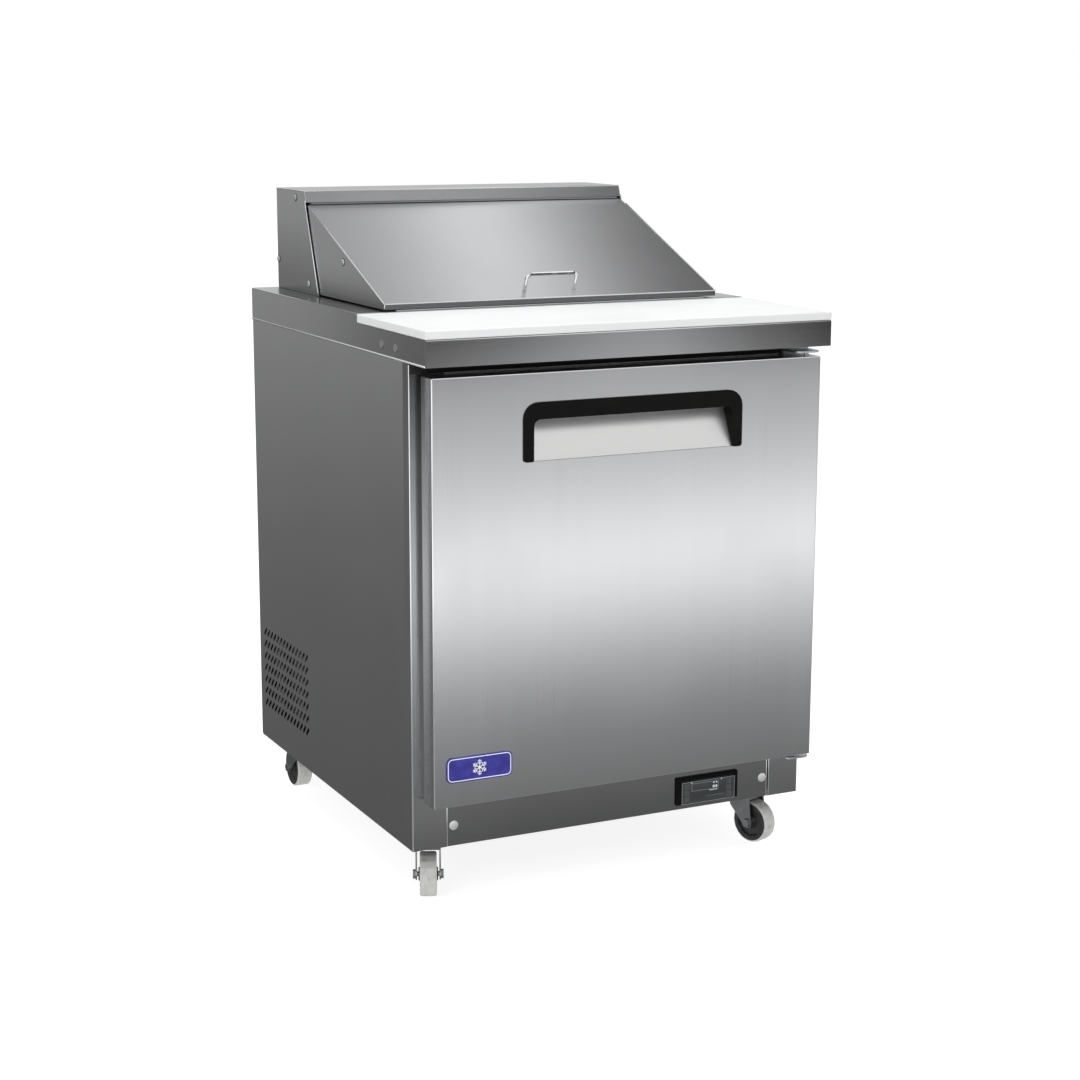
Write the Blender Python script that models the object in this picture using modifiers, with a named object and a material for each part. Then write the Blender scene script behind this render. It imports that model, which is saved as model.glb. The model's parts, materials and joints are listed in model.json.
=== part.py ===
"""Sandwich prep table: a one-door refrigerated cabinet with a pan rail, a hood and a cutting board.

Metres, +Z up. The front faces -Y, and +X is to the right seen from the front.
The origin is on the floor, below the middle of the worktop.
"""

import math

import bmesh
import bpy
from mathutils import Matrix, Vector

# Driving dimensions
WIDTH = 0.698
DEPTH = 0.776
HEIGHT = 1.080
CASTER_HEIGHT = 0.095
DECK = 0.907            # top of the worktop behind the cutting board
SKIRT = 0.055           # height of the worktop's skirt
FRONT = -0.323          # front plane of the cabinet
BACK = 0.385            # back plane of the cabinet
SHEET = 0.0012          # stainless sheet
GAP = 0.0003            # between pieces that touch
BEND = 0.0018           # outside radius of a fold

HALF = WIDTH / 2
SKIRT_BOTTOM = DECK - SKIRT
FLANGE = 0.057          # front return of a side panel, beside the door opening

# Insulated cabinet
CAVITY_HALF = 0.290
FLOOR = 0.215           # cabinet floor
LINTEL = 0.7956         # top edge of the door opening
LINTEL_BACK = -0.2786
STEP_FRONT = 0.095      # the cabinet floor steps up over the machine bay
STEP_TOP = 0.360
CAVITY_BACK = 0.340
FOAM_BOTTOM = 0.170
BAY_FRONT = 0.130
BAY_TOP = 0.325

# Worktop, cutting board and pan rail
SKIRT_BOLTS = (-0.220, -0.275)
BOLT_RADIUS = 0.0062
BOLT_HEAD = 0.0014
BOARD_BACK = -0.117
BOARD_THICK = 0.013
BOARD_TOP = 0.906
LEDGE = BOARD_TOP - BOARD_THICK - GAP
RAIL_HALF = 0.2695
RAIL_FRONT = -0.098
RAIL_BACK = 0.2375
RAIL_SEAT = 0.893
PAN_PITCH_X = 0.1767
PAN_PITCH_Y = 0.163
PAN_DEPTH = 0.100

# Hood and lid, as (y, z) points and directions across the cabinet
HOOD_HALF = 0.302
HOOD_BACK = 0.380
HOOD_TOP_FRONT = Vector((0.242, HEIGHT))
HOOD_FOOT = Vector((0.177, DECK))
HINGE_DROP = 0.022      # lid pin below the hood's top
LID_FRONT = Vector((-0.110, 0.919))
LID_HALF = 0.2995
LID_FOOT = 0.910
HINGE_HALF = 0.292
KNUCKLES = 5
KNUCKLE_RADIUS = 0.0019  # to the middle of the leaf's sheet
LEAF_SHEET = 0.0008
HEM_CLEARANCE = 0.0027

UP_BAND = (HOOD_TOP_FRONT - HOOD_FOOT).normalized()
LID_PIN = HOOD_TOP_FRONT - UP_BAND * (HINGE_DROP / UP_BAND.y)
DOWN_LID = (LID_FRONT - LID_PIN).normalized()
LID_LENGTH = (LID_FRONT - LID_PIN).length
BAND_NORMAL = Vector((-UP_BAND.y, UP_BAND.x))
LID_NORMAL = Vector((DOWN_LID.y, -DOWN_LID.x))
LID_SLOPE = math.atan2(-DOWN_LID.y, -DOWN_LID.x)

# Door
DOOR_LEFT = -0.334
DOOR_RIGHT = 0.340
DOOR_BOTTOM = 0.176
DOOR_TOP = 0.8345
DOOR_FRONT = -0.373
DOOR_BACK = -0.333
DOOR_SHEET = 0.001
DOOR_PIN = Vector((0.325, -0.353))
PIN_RADIUS = 0.004
PIN_HOLE = 0.0047
GRIP_LEFT = -0.170
GRIP_RIGHT = 0.180
GRIP_BOTTOM = 0.7005
GRIP_TOP = 0.766
GRIP_SCOOP = ((-0.3726, 0.7010), (-0.3460, 0.7580), (-0.3425, 0.7700), (-0.3440, 0.7810),
              (-0.3520, 0.7862), (-0.3712, 0.7862))
TRIM_LEFT = -0.185
TRIM_RIGHT = 0.195
TRIM_BOTTOM = 0.700
TRIM_TOP = 0.790
TRIM_WALL = 0.0017

# Machine bay
CONDENSER_MIDDLE = Vector((-0.305, 0.245, 0.205))
FAN_MIDDLE = Vector((-0.256, 0.245, 0.205))
EVAPORATOR_FAN = Vector((0.0, 0.264, 0.530))

# Louvre in the left side panel, (y, z) of its first slot
LOUVRE_START = Vector((0.142, 0.163))
LOUVRE_PITCH = Vector((0.0163, 0.0217))
LOUVRE_COLUMNS = 14
LOUVRE_ROWS = 7
SLOT_LENGTH = 0.022
SLOT_WIDTH = 0.006

# Casters
CASTER_X = 0.2925
CASTER_FRONT = -0.250
CASTER_BACK = 0.328
WHEEL_RADIUS = 0.035
WHEEL_STEPS = 19        # odd, so that a flat rests on the floor
TRAIL = 0.022
FORK_HALF = 0.0188
FORK_SHEET = 0.0025
CROWN = 0.0762
CASTERS = (
    ("front_left", -CASTER_X, CASTER_FRONT, 157.0),
    ("front_right", CASTER_X, CASTER_FRONT, 200.0),
    ("rear_left", -CASTER_X, CASTER_BACK, 0.0),
    ("rear_right", CASTER_X, CASTER_BACK, 0.0),
)

# Finishes: colour, roughness, metallic
STEEL = ((0.55, 0.56, 0.57), 0.32, 1.0)
DARK_STEEL = ((0.30, 0.31, 0.32), 0.35, 1.0)
GALVANISED = ((0.62, 0.64, 0.66), 0.45, 1.0)
CHROME = ((0.80, 0.80, 0.82), 0.12, 1.0)
COPPER_FIN = ((0.66, 0.66, 0.64), 0.40, 1.0)
BLACK_PLASTIC = ((0.015, 0.015, 0.014), 0.45, 0.0)
BLACK_PAINT = ((0.02, 0.02, 0.02), 0.30, 0.2)
WHITE_PLASTIC = ((0.90, 0.90, 0.89), 0.45, 0.0)
LINER_WHITE = ((0.82, 0.83, 0.82), 0.40, 0.0)
FOAM = ((0.75, 0.66, 0.45), 0.90, 0.0)
GREY_RUBBER = ((0.42, 0.42, 0.41), 0.70, 0.0)
TREAD_GREY = ((0.52, 0.52, 0.51), 0.55, 0.0)
BADGE_BLUE = ((0.03, 0.03, 0.30), 0.30, 0.0)
DISPLAY_GLASS = ((0.03, 0.035, 0.045), 0.12, 0.0)


# ---------------------------------------------------------------- helpers

def clear_scene():
    for obj in list(bpy.data.objects):
        bpy.data.objects.remove(obj, do_unlink=True)


def collection(name):
    made = bpy.data.collections.new(name)
    bpy.context.scene.collection.children.link(made)
    return made


def material(name, look):
    colour, roughness, metallic = look
    made = bpy.data.materials.new(name)
    made.use_nodes = True
    shader = made.node_tree.nodes["Principled BSDF"]
    shader.inputs["Base Color"].default_value = (*colour, 1.0)
    shader.inputs["Roughness"].default_value = roughness
    shader.inputs["Metallic"].default_value = metallic
    return made


def pivot(name, location, parent=None, turn=0.0):
    """An empty on a joint's axis, turned about +Z."""
    made = bpy.data.objects.new(name, None)
    PARTS.objects.link(made)
    made.location = location
    made.rotation_euler = (0, 0, turn)
    made.parent = parent
    return made


def link_mesh(name, bm, group, hinge=None, local=False):
    """The mesh as an object that hangs on hinge. Local shapes are already in the hinge's frame."""
    if hinge and not local:
        bmesh.ops.translate(bm, vec=-hinge.location, verts=bm.verts)
    mesh = bpy.data.meshes.new(name)
    bm.to_mesh(mesh)
    bm.free()
    obj = bpy.data.objects.new(name, mesh)
    obj.parent = hinge
    group.objects.link(obj)
    return obj


def add(name, bm, look, hinge=None, local=False, smooth=False):
    obj = link_mesh(name, bm, PARTS, hinge, local)
    obj.data.materials.append(material(name, look))
    if smooth:
        round_off(obj)
    return obj


def round_off(obj):
    obj.data.shade_smooth()
    obj.data.set_sharp_from_angle(angle=math.radians(40))


def tool(name, bm, hinge=None, local=False):
    """A cutter or a shape to join: it is only used by other pieces."""
    obj = link_mesh(name, bm, CUTTERS, hinge, local)
    obj.hide_render = True
    obj.display_type = "WIRE"
    return obj


def combine(obj, other, operation):
    step = obj.modifiers.new(other.name, "BOOLEAN")
    step.operation = operation
    step.object = other


def cut(obj, other):
    combine(obj, other, "DIFFERENCE")


def join(obj, other):
    combine(obj, other, "UNION")


def thicken(obj, thickness, offset=-1.0):
    """Solidify: with offset -1 the modelled surface stays the outside."""
    step = obj.modifiers.new("sheet", "SOLIDIFY")
    step.thickness = thickness
    step.offset = offset
    step.use_even_offset = True


def fold(obj, thickness):
    """Solidify for sheets whose bends aren't square, with the thickness held on every face."""
    step = obj.modifiers.new("sheet", "SOLIDIFY")
    step.solidify_mode = "NON_MANIFOLD"
    step.nonmanifold_thickness_mode = "CONSTRAINTS"
    step.thickness = thickness
    step.offset = -1.0


def soften(obj, width, segments=2):
    step = obj.modifiers.new("edges", "BEVEL")
    step.width = width
    step.segments = segments
    step.limit_method = "ANGLE"
    step.angle_limit = math.radians(40)


def box(bm, low, high):
    """An axis-aligned box between two corners."""
    low, high = Vector(low), Vector(high)
    made = bmesh.ops.create_cube(bm, size=1.0)["verts"]
    bmesh.ops.scale(bm, vec=high - low, verts=made)
    bmesh.ops.translate(bm, vec=(low + high) / 2, verts=made)
    return bm


def cylinder(bm, radius, length, centre, axis, sides=16, top_radius=None):
    """A cylinder, or a cone frustum, centred on its middle."""
    turn = {"X": Matrix.Rotation(math.pi / 2, 4, "Y"), "Y": Matrix.Rotation(-math.pi / 2, 4, "X"),
            "Z": Matrix.Identity(4)}[axis]
    bmesh.ops.create_cone(
        bm, cap_ends=True, segments=sides, radius1=radius, depth=length,
        radius2=radius if top_radius is None else top_radius,
        matrix=Matrix.Translation(centre) @ turn)
    return bm


AXIS_FRAMES = {
    "X": Matrix(((0, 0, 1), (1, 0, 0), (0, 1, 0))),
    "Y": Matrix(((1, 0, 0), (0, 0, 1), (0, 1, 0))),
    "Z": Matrix.Identity(3),
}


def prism(bm, outline, axis, low, high):
    """A flat outline drawn across the axis, as (y, z), (x, z) or (x, y), extruded along it."""
    frame = AXIS_FRAMES[axis]
    face = bm.faces.new([bm.verts.new(frame @ Vector((a, b, low))) for a, b in outline])
    grown = bmesh.ops.extrude_face_region(bm, geom=[face])["geom"]
    moved = [item for item in grown if isinstance(item, bmesh.types.BMVert)]
    bmesh.ops.translate(bm, vec=frame @ Vector((0, 0, high - low)), verts=moved)
    bmesh.ops.recalc_face_normals(bm, faces=bm.faces[:])
    return bm


def open_up(bm, test):
    """Remove the faces whose middle and normal pass the test, so that a closed form becomes a sheet."""
    bm.normal_update()
    gone = [face for face in bm.faces if test(face.calc_center_median(), face.normal)]
    bmesh.ops.delete(bm, geom=gone, context="FACES")
    return bm


def round_folds(bm, test=lambda middle: True, radius=BEND):
    """Rounds the folds of an open sheet, where their middles pass the test."""
    bends = [edge for edge in bm.edges
             if len(edge.link_faces) == 2 and edge.calc_face_angle() > 0.3
             and test((edge.verts[0].co + edge.verts[1].co) / 2)]
    bmesh.ops.bevel(bm, geom=bends, offset=radius, offset_type="OFFSET", segments=2, profile=0.5,
                    affect="EDGES")


def arc(centre, radius, start, end, steps):
    """Points on an arc, in degrees."""
    for step in range(steps + 1):
        angle = math.radians(start + (end - start) * step / steps)
        yield (centre[0] + radius * math.cos(angle), centre[1] + radius * math.sin(angle))


def rounded_rectangle(half_a, half_b, radius, steps, centre=(0.0, 0.0)):
    points = []
    for quarter, (a, b) in enumerate(((1, 1), (-1, 1), (-1, -1), (1, -1))):
        middle = (centre[0] + a * (half_a - radius), centre[1] + b * (half_b - radius))
        points += arc(middle, radius, 90 * quarter, 90 * quarter + 90, steps)
    return points


def slot_outline(centre, direction, length, width, steps=3):
    """A slot with round ends along a direction."""
    lean = math.degrees(math.atan2(direction[1], direction[0]))
    reach = Vector(direction).normalized() * (length - width) / 2
    ahead = arc(Vector(centre) + reach, width / 2, lean - 90, lean + 90, steps)
    behind = arc(Vector(centre) - reach, width / 2, lean + 90, lean + 270, steps)
    return [*ahead, *behind]


def offset_path(points, distance):
    """An open path moved sideways to its right by a distance, with mitred corners."""
    points = [Vector(point) for point in points]
    sides = []
    for start, end in zip(points, points[1:]):
        along = (end - start).normalized()
        sides.append(Vector((along.y, -along.x)))
    moved = [points[0] + sides[0] * distance]
    for point, before, after in zip(points[1:-1], sides, sides[1:]):
        mitre = (before + after).normalized()
        moved.append(point + mitre * (distance / mitre.dot(before)))
    moved.append(points[-1] + sides[-1] * distance)
    return moved


def turned(name, profile, steps, axis, look, hinge=None):
    """A closed (along, radius) profile revolved about its axis with a Screw modifier."""
    bm = bmesh.new()
    ring = []
    for along, radius in profile:
        point = (along, 0, radius) if axis == "X" else (radius, 0, along)
        ring.append(bm.verts.new(point))
    for first, second in zip(ring, ring[1:] + ring[:1]):
        bm.edges.new((first, second))
    obj = link_mesh(name, bm, PARTS, hinge, local=True)
    obj.data.materials.append(material(name, look))
    step = obj.modifiers.new("turn", "SCREW")
    step.axis = axis
    step.steps = steps
    step.render_steps = steps
    step.use_merge_vertices = True
    step.merge_threshold = 0.00001
    step.use_smooth_shade = True
    return obj


def wire(name, points, radius, sides, group, cyclic=False):
    """A round wire along straight runs between points."""
    data = bpy.data.curves.new(name, "CURVE")
    data.dimensions = "3D"
    data.bevel_depth = radius
    data.bevel_resolution = sides // 2 - 2
    data.use_fill_caps = True
    spline = data.splines.new("POLY")
    spline.points.add(len(points) - 1)
    for target, point in zip(spline.points, points):
        target.co = (*point, 1.0)
    spline.use_cyclic_u = cyclic
    obj = bpy.data.objects.new(name, data)
    group.objects.link(obj)
    return obj


def as_mesh(obj, group):
    """The curve as a mesh object with its caps welded, so that Booleans can use it."""
    graph = bpy.context.evaluated_depsgraph_get()
    mesh = bpy.data.meshes.new_from_object(obj.evaluated_get(graph))
    bm = bmesh.new()
    bm.from_mesh(mesh)
    bmesh.ops.remove_doubles(bm, verts=bm.verts, dist=0.00001)
    bmesh.ops.recalc_face_normals(bm, faces=bm.faces)
    bm.to_mesh(mesh)
    bm.free()
    name = obj.name
    made = bpy.data.objects.new(name + "_mesh", mesh)
    made.matrix_world = obj.matrix_world
    group.objects.link(made)
    bpy.data.objects.remove(obj)
    made.name = name
    return made


# ---------------------------------------------------------------- cabinet

def side_panel(name, side):
    """A folded side panel: the side, a wide front return beside the door and a narrow rear return."""
    outside = side * HALF
    bm = box(bmesh.new(), (min(outside, side * (HALF - FLANGE)), FRONT, CASTER_HEIGHT),
             (max(outside, side * (HALF - FLANGE)), BACK - SHEET - GAP, SKIRT_BOTTOM - 0.0005))
    open_up(bm, lambda middle, normal: abs(normal.z) > 0.5 or normal.x * side < -0.5)
    rear = [vert for vert in bm.verts if vert.co.y > 0 and abs(vert.co.x) < HALF - 0.001]
    bmesh.ops.translate(bm, vec=(side * (FLANGE - 0.014), 0, 0), verts=rear)
    round_folds(bm)
    panel = add(name, bm, STEEL)
    thicken(panel, SHEET)
    return panel


def louvre(panel, side):
    """Slanted slots, their tops leaning to the front, punched through a side panel."""
    bm = bmesh.new()
    for row in range(LOUVRE_ROWS):
        for column in range(LOUVRE_COLUMNS):
            centre = LOUVRE_START + Vector((LOUVRE_PITCH.x * column, LOUVRE_PITCH.y * row))
            outline = slot_outline(centre, (-1, 1), SLOT_LENGTH, SLOT_WIDTH, 2)
            prism(bm, outline, "X", side * HALF - 0.004, side * HALF + 0.004)
    cut(panel, tool(panel.name + "_slots", bm))


def back_panel():
    """Rear sheet with two banks of vent slots over the machine bay."""
    bm = box(bmesh.new(), (-HALF + 0.0005, BACK - SHEET, 0.097),
             (HALF - 0.0005, BACK, SKIRT_BOTTOM - 0.0005))
    panel = add("back_panel", bm, STEEL)
    slots = bmesh.new()
    for bank in (-0.17, 0.09):
        for row in range(9):
            outline = slot_outline((bank, 0.130 + 0.020 * row), (1, 0), 0.150, 0.007, 2)
            prism(slots, outline, "Y", BACK - 0.004, BACK + 0.004)
    cut(panel, tool("back_panel_slots", slots))
    hole = box(bmesh.new(), (0.2575, BACK - 0.004, 0.1475), (0.3025, BACK + 0.004, 0.1725))
    cut(panel, tool("back_panel_inlet_hole", hole))


def base_pan():
    """Bottom tray that carries the casters and the condensing unit."""
    inset = SHEET + GAP
    bm = box(bmesh.new(), (-HALF + inset, FRONT + inset, CASTER_HEIGHT),
             (HALF - inset, BACK - inset - 0.0018, 0.105))
    open_up(bm, lambda middle, normal: normal.z > 0.5)
    thicken(add("base_pan", bm, GALVANISED), 0.0015)


def cavity_outline(gap):
    """Outline of the stepped cabinet in (y, z), drawn in by a gap."""
    return [
        (FRONT + 0.0018, FLOOR + gap),
        (STEP_FRONT - gap, FLOOR + gap),
        (STEP_FRONT - gap, STEP_TOP + gap),
        (CAVITY_BACK - gap, STEP_TOP + gap),
        (CAVITY_BACK - gap, SKIRT_BOTTOM - 0.0012),
        (LINTEL_BACK + gap, SKIRT_BOTTOM - 0.0012),
        (LINTEL_BACK + gap, LINTEL - gap),
        (FRONT + 0.0018, LINTEL - gap),
    ]


def foam_core():
    """Insulation between the outer sheets and the liner."""
    inset = SHEET + GAP
    bm = box(bmesh.new(), (-HALF + inset, FRONT + inset, FOAM_BOTTOM), (HALF - inset, BACK - 0.003, 0.8508))
    foam = add("foam_core", bm, FOAM)
    outline = [(y if 0 < i < 7 else FRONT - 0.02, z) for i, (y, z) in enumerate(cavity_outline(0.0))]
    outline[4] = (outline[4][0], DECK)
    outline[5] = (outline[5][0], DECK)
    inside = prism(bmesh.new(), outline, "X", -CAVITY_HALF, CAVITY_HALF)
    cut(foam, tool("foam_cavity", inside))
    bay = box(bmesh.new(), (-WIDTH, BAY_FRONT, 0.0), (WIDTH, DEPTH, BAY_TOP))
    cut(foam, tool("foam_machine_bay", bay))


def liner():
    """White inner skin of the cabinet, open at the door and under the pans."""
    bm = prism(bmesh.new(), cavity_outline(GAP), "X", -CAVITY_HALF + GAP, CAVITY_HALF - GAP)
    open_up(bm, lambda middle, normal: normal.y < -0.5 and middle.y < LINTEL_BACK - 0.01
            or normal.z > 0.5 and middle.z > LINTEL + 0.02)
    thicken(add("liner", bm, LINER_WHITE), 0.001)


def front_frame():
    """Steel face around the door opening, between the side panels' returns."""
    half = HALF - FLANGE - GAP
    bm = box(bmesh.new(), (-half, FRONT, DOOR_BOTTOM + 0.0005), (half, FRONT + SHEET, SKIRT_BOTTOM - 0.0005))
    frame = add("front_frame", bm, STEEL)
    hole = box(bmesh.new(), (-0.281, FRONT - 0.01, FLOOR), (0.281, FRONT + 0.01, LINTEL))
    cut(frame, tool("front_frame_opening", hole))


def kick_panel():
    """Removable service panel under the door, with the controller's cut-out."""
    half = HALF - FLANGE - GAP
    right = half - 0.0018
    bm = box(bmesh.new(), (-half, FRONT, 0.0955), (right, FRONT + SHEET, DOOR_BOTTOM - 0.0005))
    panel = add("kick_panel", bm, STEEL)
    hole = box(bmesh.new(), (0.1185, FRONT - 0.01, 0.1065), (0.2275, FRONT + 0.01, 0.1465))
    cut(panel, tool("kick_panel_cutout", hole))


def controller():
    """Temperature controller: a black bezel with its body behind the panel, and its display."""
    face = box(bmesh.new(), (0.115, FRONT - 0.0045, 0.103), (0.231, FRONT - GAP, 0.150))
    bezel = add("controller_bezel", face, BLACK_PLASTIC)
    soften(bezel, 0.0015, 1)
    body = box(bmesh.new(), (0.1195, FRONT - 0.002, 0.1075), (0.2265, FRONT + 0.055, 0.1455))
    join(bezel, tool("controller_body", body))
    pocket = box(bmesh.new(), (0.124, FRONT - 0.01, 0.110), (0.222, FRONT - 0.0015, 0.143))
    cut(bezel, tool("controller_pocket", pocket))
    display = box(bmesh.new(), (0.1243, FRONT - 0.0033, 0.1103), (0.2217, FRONT - 0.0018, 0.1427))
    add("controller_display", display, DISPLAY_GLASS)


def power_inlet():
    """Flush mains inlet at the back."""
    flange = box(bmesh.new(), (0.252, BACK + GAP, 0.144), (0.308, DEPTH / 2, 0.176))
    inlet = add("power_inlet", flange, BLACK_PLASTIC)
    body = box(bmesh.new(), (0.2580, BACK - 0.022, 0.1480), (0.3020, BACK + 0.001, 0.1720))
    join(inlet, tool("power_inlet_body", body))
    mouth = rounded_rectangle(0.017, 0.009, 0.003, 2, (0.280, 0.160))
    socket = prism(bmesh.new(), mouth, "Y", BACK - 0.016, BACK + 0.01)
    cut(inlet, tool("power_inlet_socket", socket))


# ---------------------------------------------------------------- worktop

def worktop():
    """Folded deck with skirts, a lowered ledge for the board and an opening for the pans."""
    riser = BOARD_BACK + 0.0005
    end = DEPTH / 2
    outline = [(-end, SKIRT_BOTTOM), (-end, LEDGE), (riser, LEDGE),
               (riser, DECK), (end, DECK), (end, SKIRT_BOTTOM)]
    bm = prism(bmesh.new(), outline, "X", -HALF, HALF)
    open_up(bm, lambda middle, normal: normal.z < -0.5)
    round_folds(bm, lambda middle: abs(middle.y - riser) > 0.001 or abs(middle.z - LEDGE) > 0.001)
    deck = add("worktop", bm, STEEL)
    thicken(deck, SHEET)
    hole = box(bmesh.new(), (-RAIL_HALF - 0.0005, RAIL_FRONT - 0.0005, 0.80),
               (RAIL_HALF + 0.0005, RAIL_BACK + 0.0005, 1.0))
    cut(deck, tool("worktop_pan_opening", hole))
    for side in (-1, 1):
        heads = bmesh.new()
        for y in SKIRT_BOLTS:
            middle = (side * (HALF + (BOLT_HEAD - 0.0006) / 2), y, 0.870)
            cylinder(heads, BOLT_RADIUS, BOLT_HEAD + 0.0006, middle, "X", 12)
        join(deck, tool(f"worktop_bolts_{side}", heads))


def cutting_board():
    bm = box(bmesh.new(), (-HALF, -DEPTH / 2, BOARD_TOP - BOARD_THICK), (HALF, BOARD_BACK, BOARD_TOP))
    soften(add("cutting_board", bm, WHITE_PLASTIC, BOARD_PIVOT), 0.0015, 2)


def pan_centres():
    middle = (RAIL_FRONT + RAIL_BACK) / 2
    for row in (-0.5, 0.5):
        for column in (-1, 0, 1):
            yield (PAN_PITCH_X * column, middle + PAN_PITCH_Y * row)


def pan_rail():
    """Drop-in frame with divider bars that the pans' rims rest on."""
    lip = DECK + GAP
    frame = box(bmesh.new(), (-RAIL_HALF, RAIL_FRONT, 0.880), (RAIL_HALF, RAIL_BACK, lip + 0.0012))
    rail = add("pan_rail", frame, STEEL)
    brim = box(bmesh.new(), (-RAIL_HALF - 0.0085, RAIL_FRONT - 0.0085, lip),
               (RAIL_HALF + 0.0085, RAIL_BACK + 0.0085, lip + 0.0012))
    join(rail, tool("pan_rail_brim", brim))
    wall = 0.002
    pocket = box(bmesh.new(), (-RAIL_HALF + wall, RAIL_FRONT + wall, RAIL_SEAT),
                 (RAIL_HALF - wall, RAIL_BACK - wall, 1.0))
    cut(rail, tool("pan_rail_pocket", pocket))
    wells = bmesh.new()
    for x, y in pan_centres():
        prism(wells, rounded_rectangle(0.0833, 0.0765, 0.019, 2, (x, y)), "Z", 0.87, 0.90)
    cut(rail, tool("pan_rail_wells", wells))


def food_pan(number, x, y):
    """A sixth-size pan: a flat rim, tapered walls and a rounded floor, lofted between rounded rectangles."""
    loops = ((0.0877, 0.0808, 0.012, 0.0), (0.0800, 0.0732, 0.018, 0.0),
             (0.0755, 0.0688, 0.021, -0.90 * PAN_DEPTH), (0.0700, 0.0632, 0.017, -PAN_DEPTH))
    bm = bmesh.new()
    rings = []
    for half_x, half_y, radius, z in loops:
        rings.append([bm.verts.new((a, b, z)) for a, b in rounded_rectangle(half_x, half_y, radius, 3)])
    for upper, lower in zip(rings, rings[1:]):
        for i in range(len(upper)):
            after = (i + 1) % len(upper)
            bm.faces.new((upper[i], upper[after], lower[after], lower[i]))
    bm.faces.new(rings[-1])
    bmesh.ops.recalc_face_normals(bm, faces=bm.faces[:])
    pan = add(f"food_pan_{number}", bm, STEEL, smooth=True)
    pan.location = (x, y, RAIL_SEAT + GAP + 0.0008)
    thicken(pan, 0.0008, 1.0 if rim_faces_down(pan) else -1.0)


def rim_faces_down(pan):
    """Whether the rim's faces look down, so that the sheet grows the other way."""
    return next(face for face in pan.data.polygons if abs(face.center.z) < 1e-6).normal.z < 0


# ---------------------------------------------------------------- hood and lid

def hood_shell():
    """Fixed hood: back, top, two sides with slanted front edges, and the narrow band over the lid."""
    band_end = LID_PIN + UP_BAND * HEM_CLEARANCE
    foot = HOOD_FOOT + UP_BAND * (0.0005 / UP_BAND.y)
    outline = [(HOOD_BACK, foot.y), (HOOD_BACK, HEIGHT), tuple(HOOD_TOP_FRONT), tuple(band_end), tuple(foot)]
    bm = prism(bmesh.new(), outline, "X", -HOOD_HALF, HOOD_HALF)
    open_up(bm, lambda middle, normal: normal.z < -0.5
            or abs(normal.x) < 0.5 and middle.y < HOOD_BACK - 0.1 and middle.z < band_end.y)
    round_folds(bm)
    fold(add("hood_shell", bm, STEEL), SHEET)


def lid_skin():
    """Lid: sloping flap, front lip and two triangular cheeks."""
    heel = LID_PIN + DOWN_LID * HEM_CLEARANCE
    outline = [tuple(heel), tuple(LID_FRONT), (LID_FRONT.x, LID_FOOT), (HOOD_FOOT.x + 0.006, LID_FOOT)]
    bm = prism(bmesh.new(), outline, "X", -LID_HALF, LID_HALF)
    open_up(bm, lambda middle, normal: normal.z < -0.5 or normal.y > 0.5)
    round_folds(bm)
    fold(add("lid_skin", bm, STEEL, LID_PIVOT), SHEET)


def lid_liner():
    """Insulated inner panel of the lid."""
    start, end = 0.030, LID_LENGTH - 0.016
    top, bottom = -SHEET - GAP, -0.0145
    bm = box(bmesh.new(), (-LID_HALF + 0.004, -end, bottom), (LID_HALF - 0.004, -start, top))
    panel = add("lid_liner", bm, LINER_WHITE, LID_PIVOT, local=True)
    panel.rotation_euler = (LID_SLOPE, 0, 0)
    soften(panel, 0.003, 1)


def lid_handle():
    """Bow handle of bent rod, standing square on the flap."""
    half, rise, bend = 0.0450, 0.026, 0.008
    station = -(LID_LENGTH - 0.027)
    points = [(-half, station, 0.0005)]
    points += [(a, station, b) for a, b in arc((-half + bend, rise - bend + 0.003), bend, 180, 90, 4)]
    points += [(a, station, b) for a, b in arc((half - bend, rise - bend + 0.003), bend, 90, 0, 4)]
    points += [(half, station, 0.0005)]
    bow = wire("lid_handle", points, 0.0032, 8, PARTS)
    bow.data.materials.append(material("lid_handle", CHROME))
    bow.parent = LID_PIVOT
    bow.rotation_euler = (LID_SLOPE, 0, 0)


def hinge_leaf(name, along, normal, width, first, hinge):
    """A leaf sheet whose edge is rolled round the pin, with knuckles on every second segment."""
    curl = []
    for step in range(9):
        angle = math.radians(290 * step / 8)
        reach = -normal * math.cos(angle) - along * math.sin(angle)
        curl.append(LID_PIN + reach * KNUCKLE_RADIUS)
    plane = LID_PIN - normal * KNUCKLE_RADIUS
    strip = [plane + along * width, plane + along * (HEM_CLEARANCE + 0.0003)]
    bm = bmesh.new()
    pitch = 2 * HINGE_HALF / KNUCKLES
    last = None
    for segment in range(KNUCKLES):
        start = -HINGE_HALF + pitch * segment + 0.0005
        owned = segment % 2 == first
        path = strip + curl if owned else strip
        rows = [[bm.verts.new((x, *point)) for point in path] for x in (start, start + pitch - 0.001)]
        if last:
            bm.faces.new((last[0], last[1], rows[0][1], rows[0][0]))
        for i in range(len(path) - 1):
            bm.faces.new((rows[0][i], rows[0][i + 1], rows[1][i + 1], rows[1][i]))
        last = rows[1]
    thicken(add(name, bm, STEEL, hinge), LEAF_SHEET, 0.0)


def lid_hinge():
    hinge_leaf("lid_hinge_fixed_leaf", UP_BAND, BAND_NORMAL, 0.016, 0, None)
    hinge_leaf("lid_hinge_moving_leaf", DOWN_LID, LID_NORMAL, 0.024, 1, LID_PIVOT)
    bm = cylinder(bmesh.new(), 0.0011, 2 * HINGE_HALF + 0.004, (0, *LID_PIN), "X", 8)
    add("lid_hinge_pin", bm, CHROME, smooth=True)


# ---------------------------------------------------------------- door

def pin_holes(name):
    bm = bmesh.new()
    for z in (DOOR_BOTTOM, DOOR_TOP):
        cylinder(bm, PIN_HOLE, 0.040, (*DOOR_PIN, z), "Z", 16)
    return tool(name, bm, DOOR_PIVOT)


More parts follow.
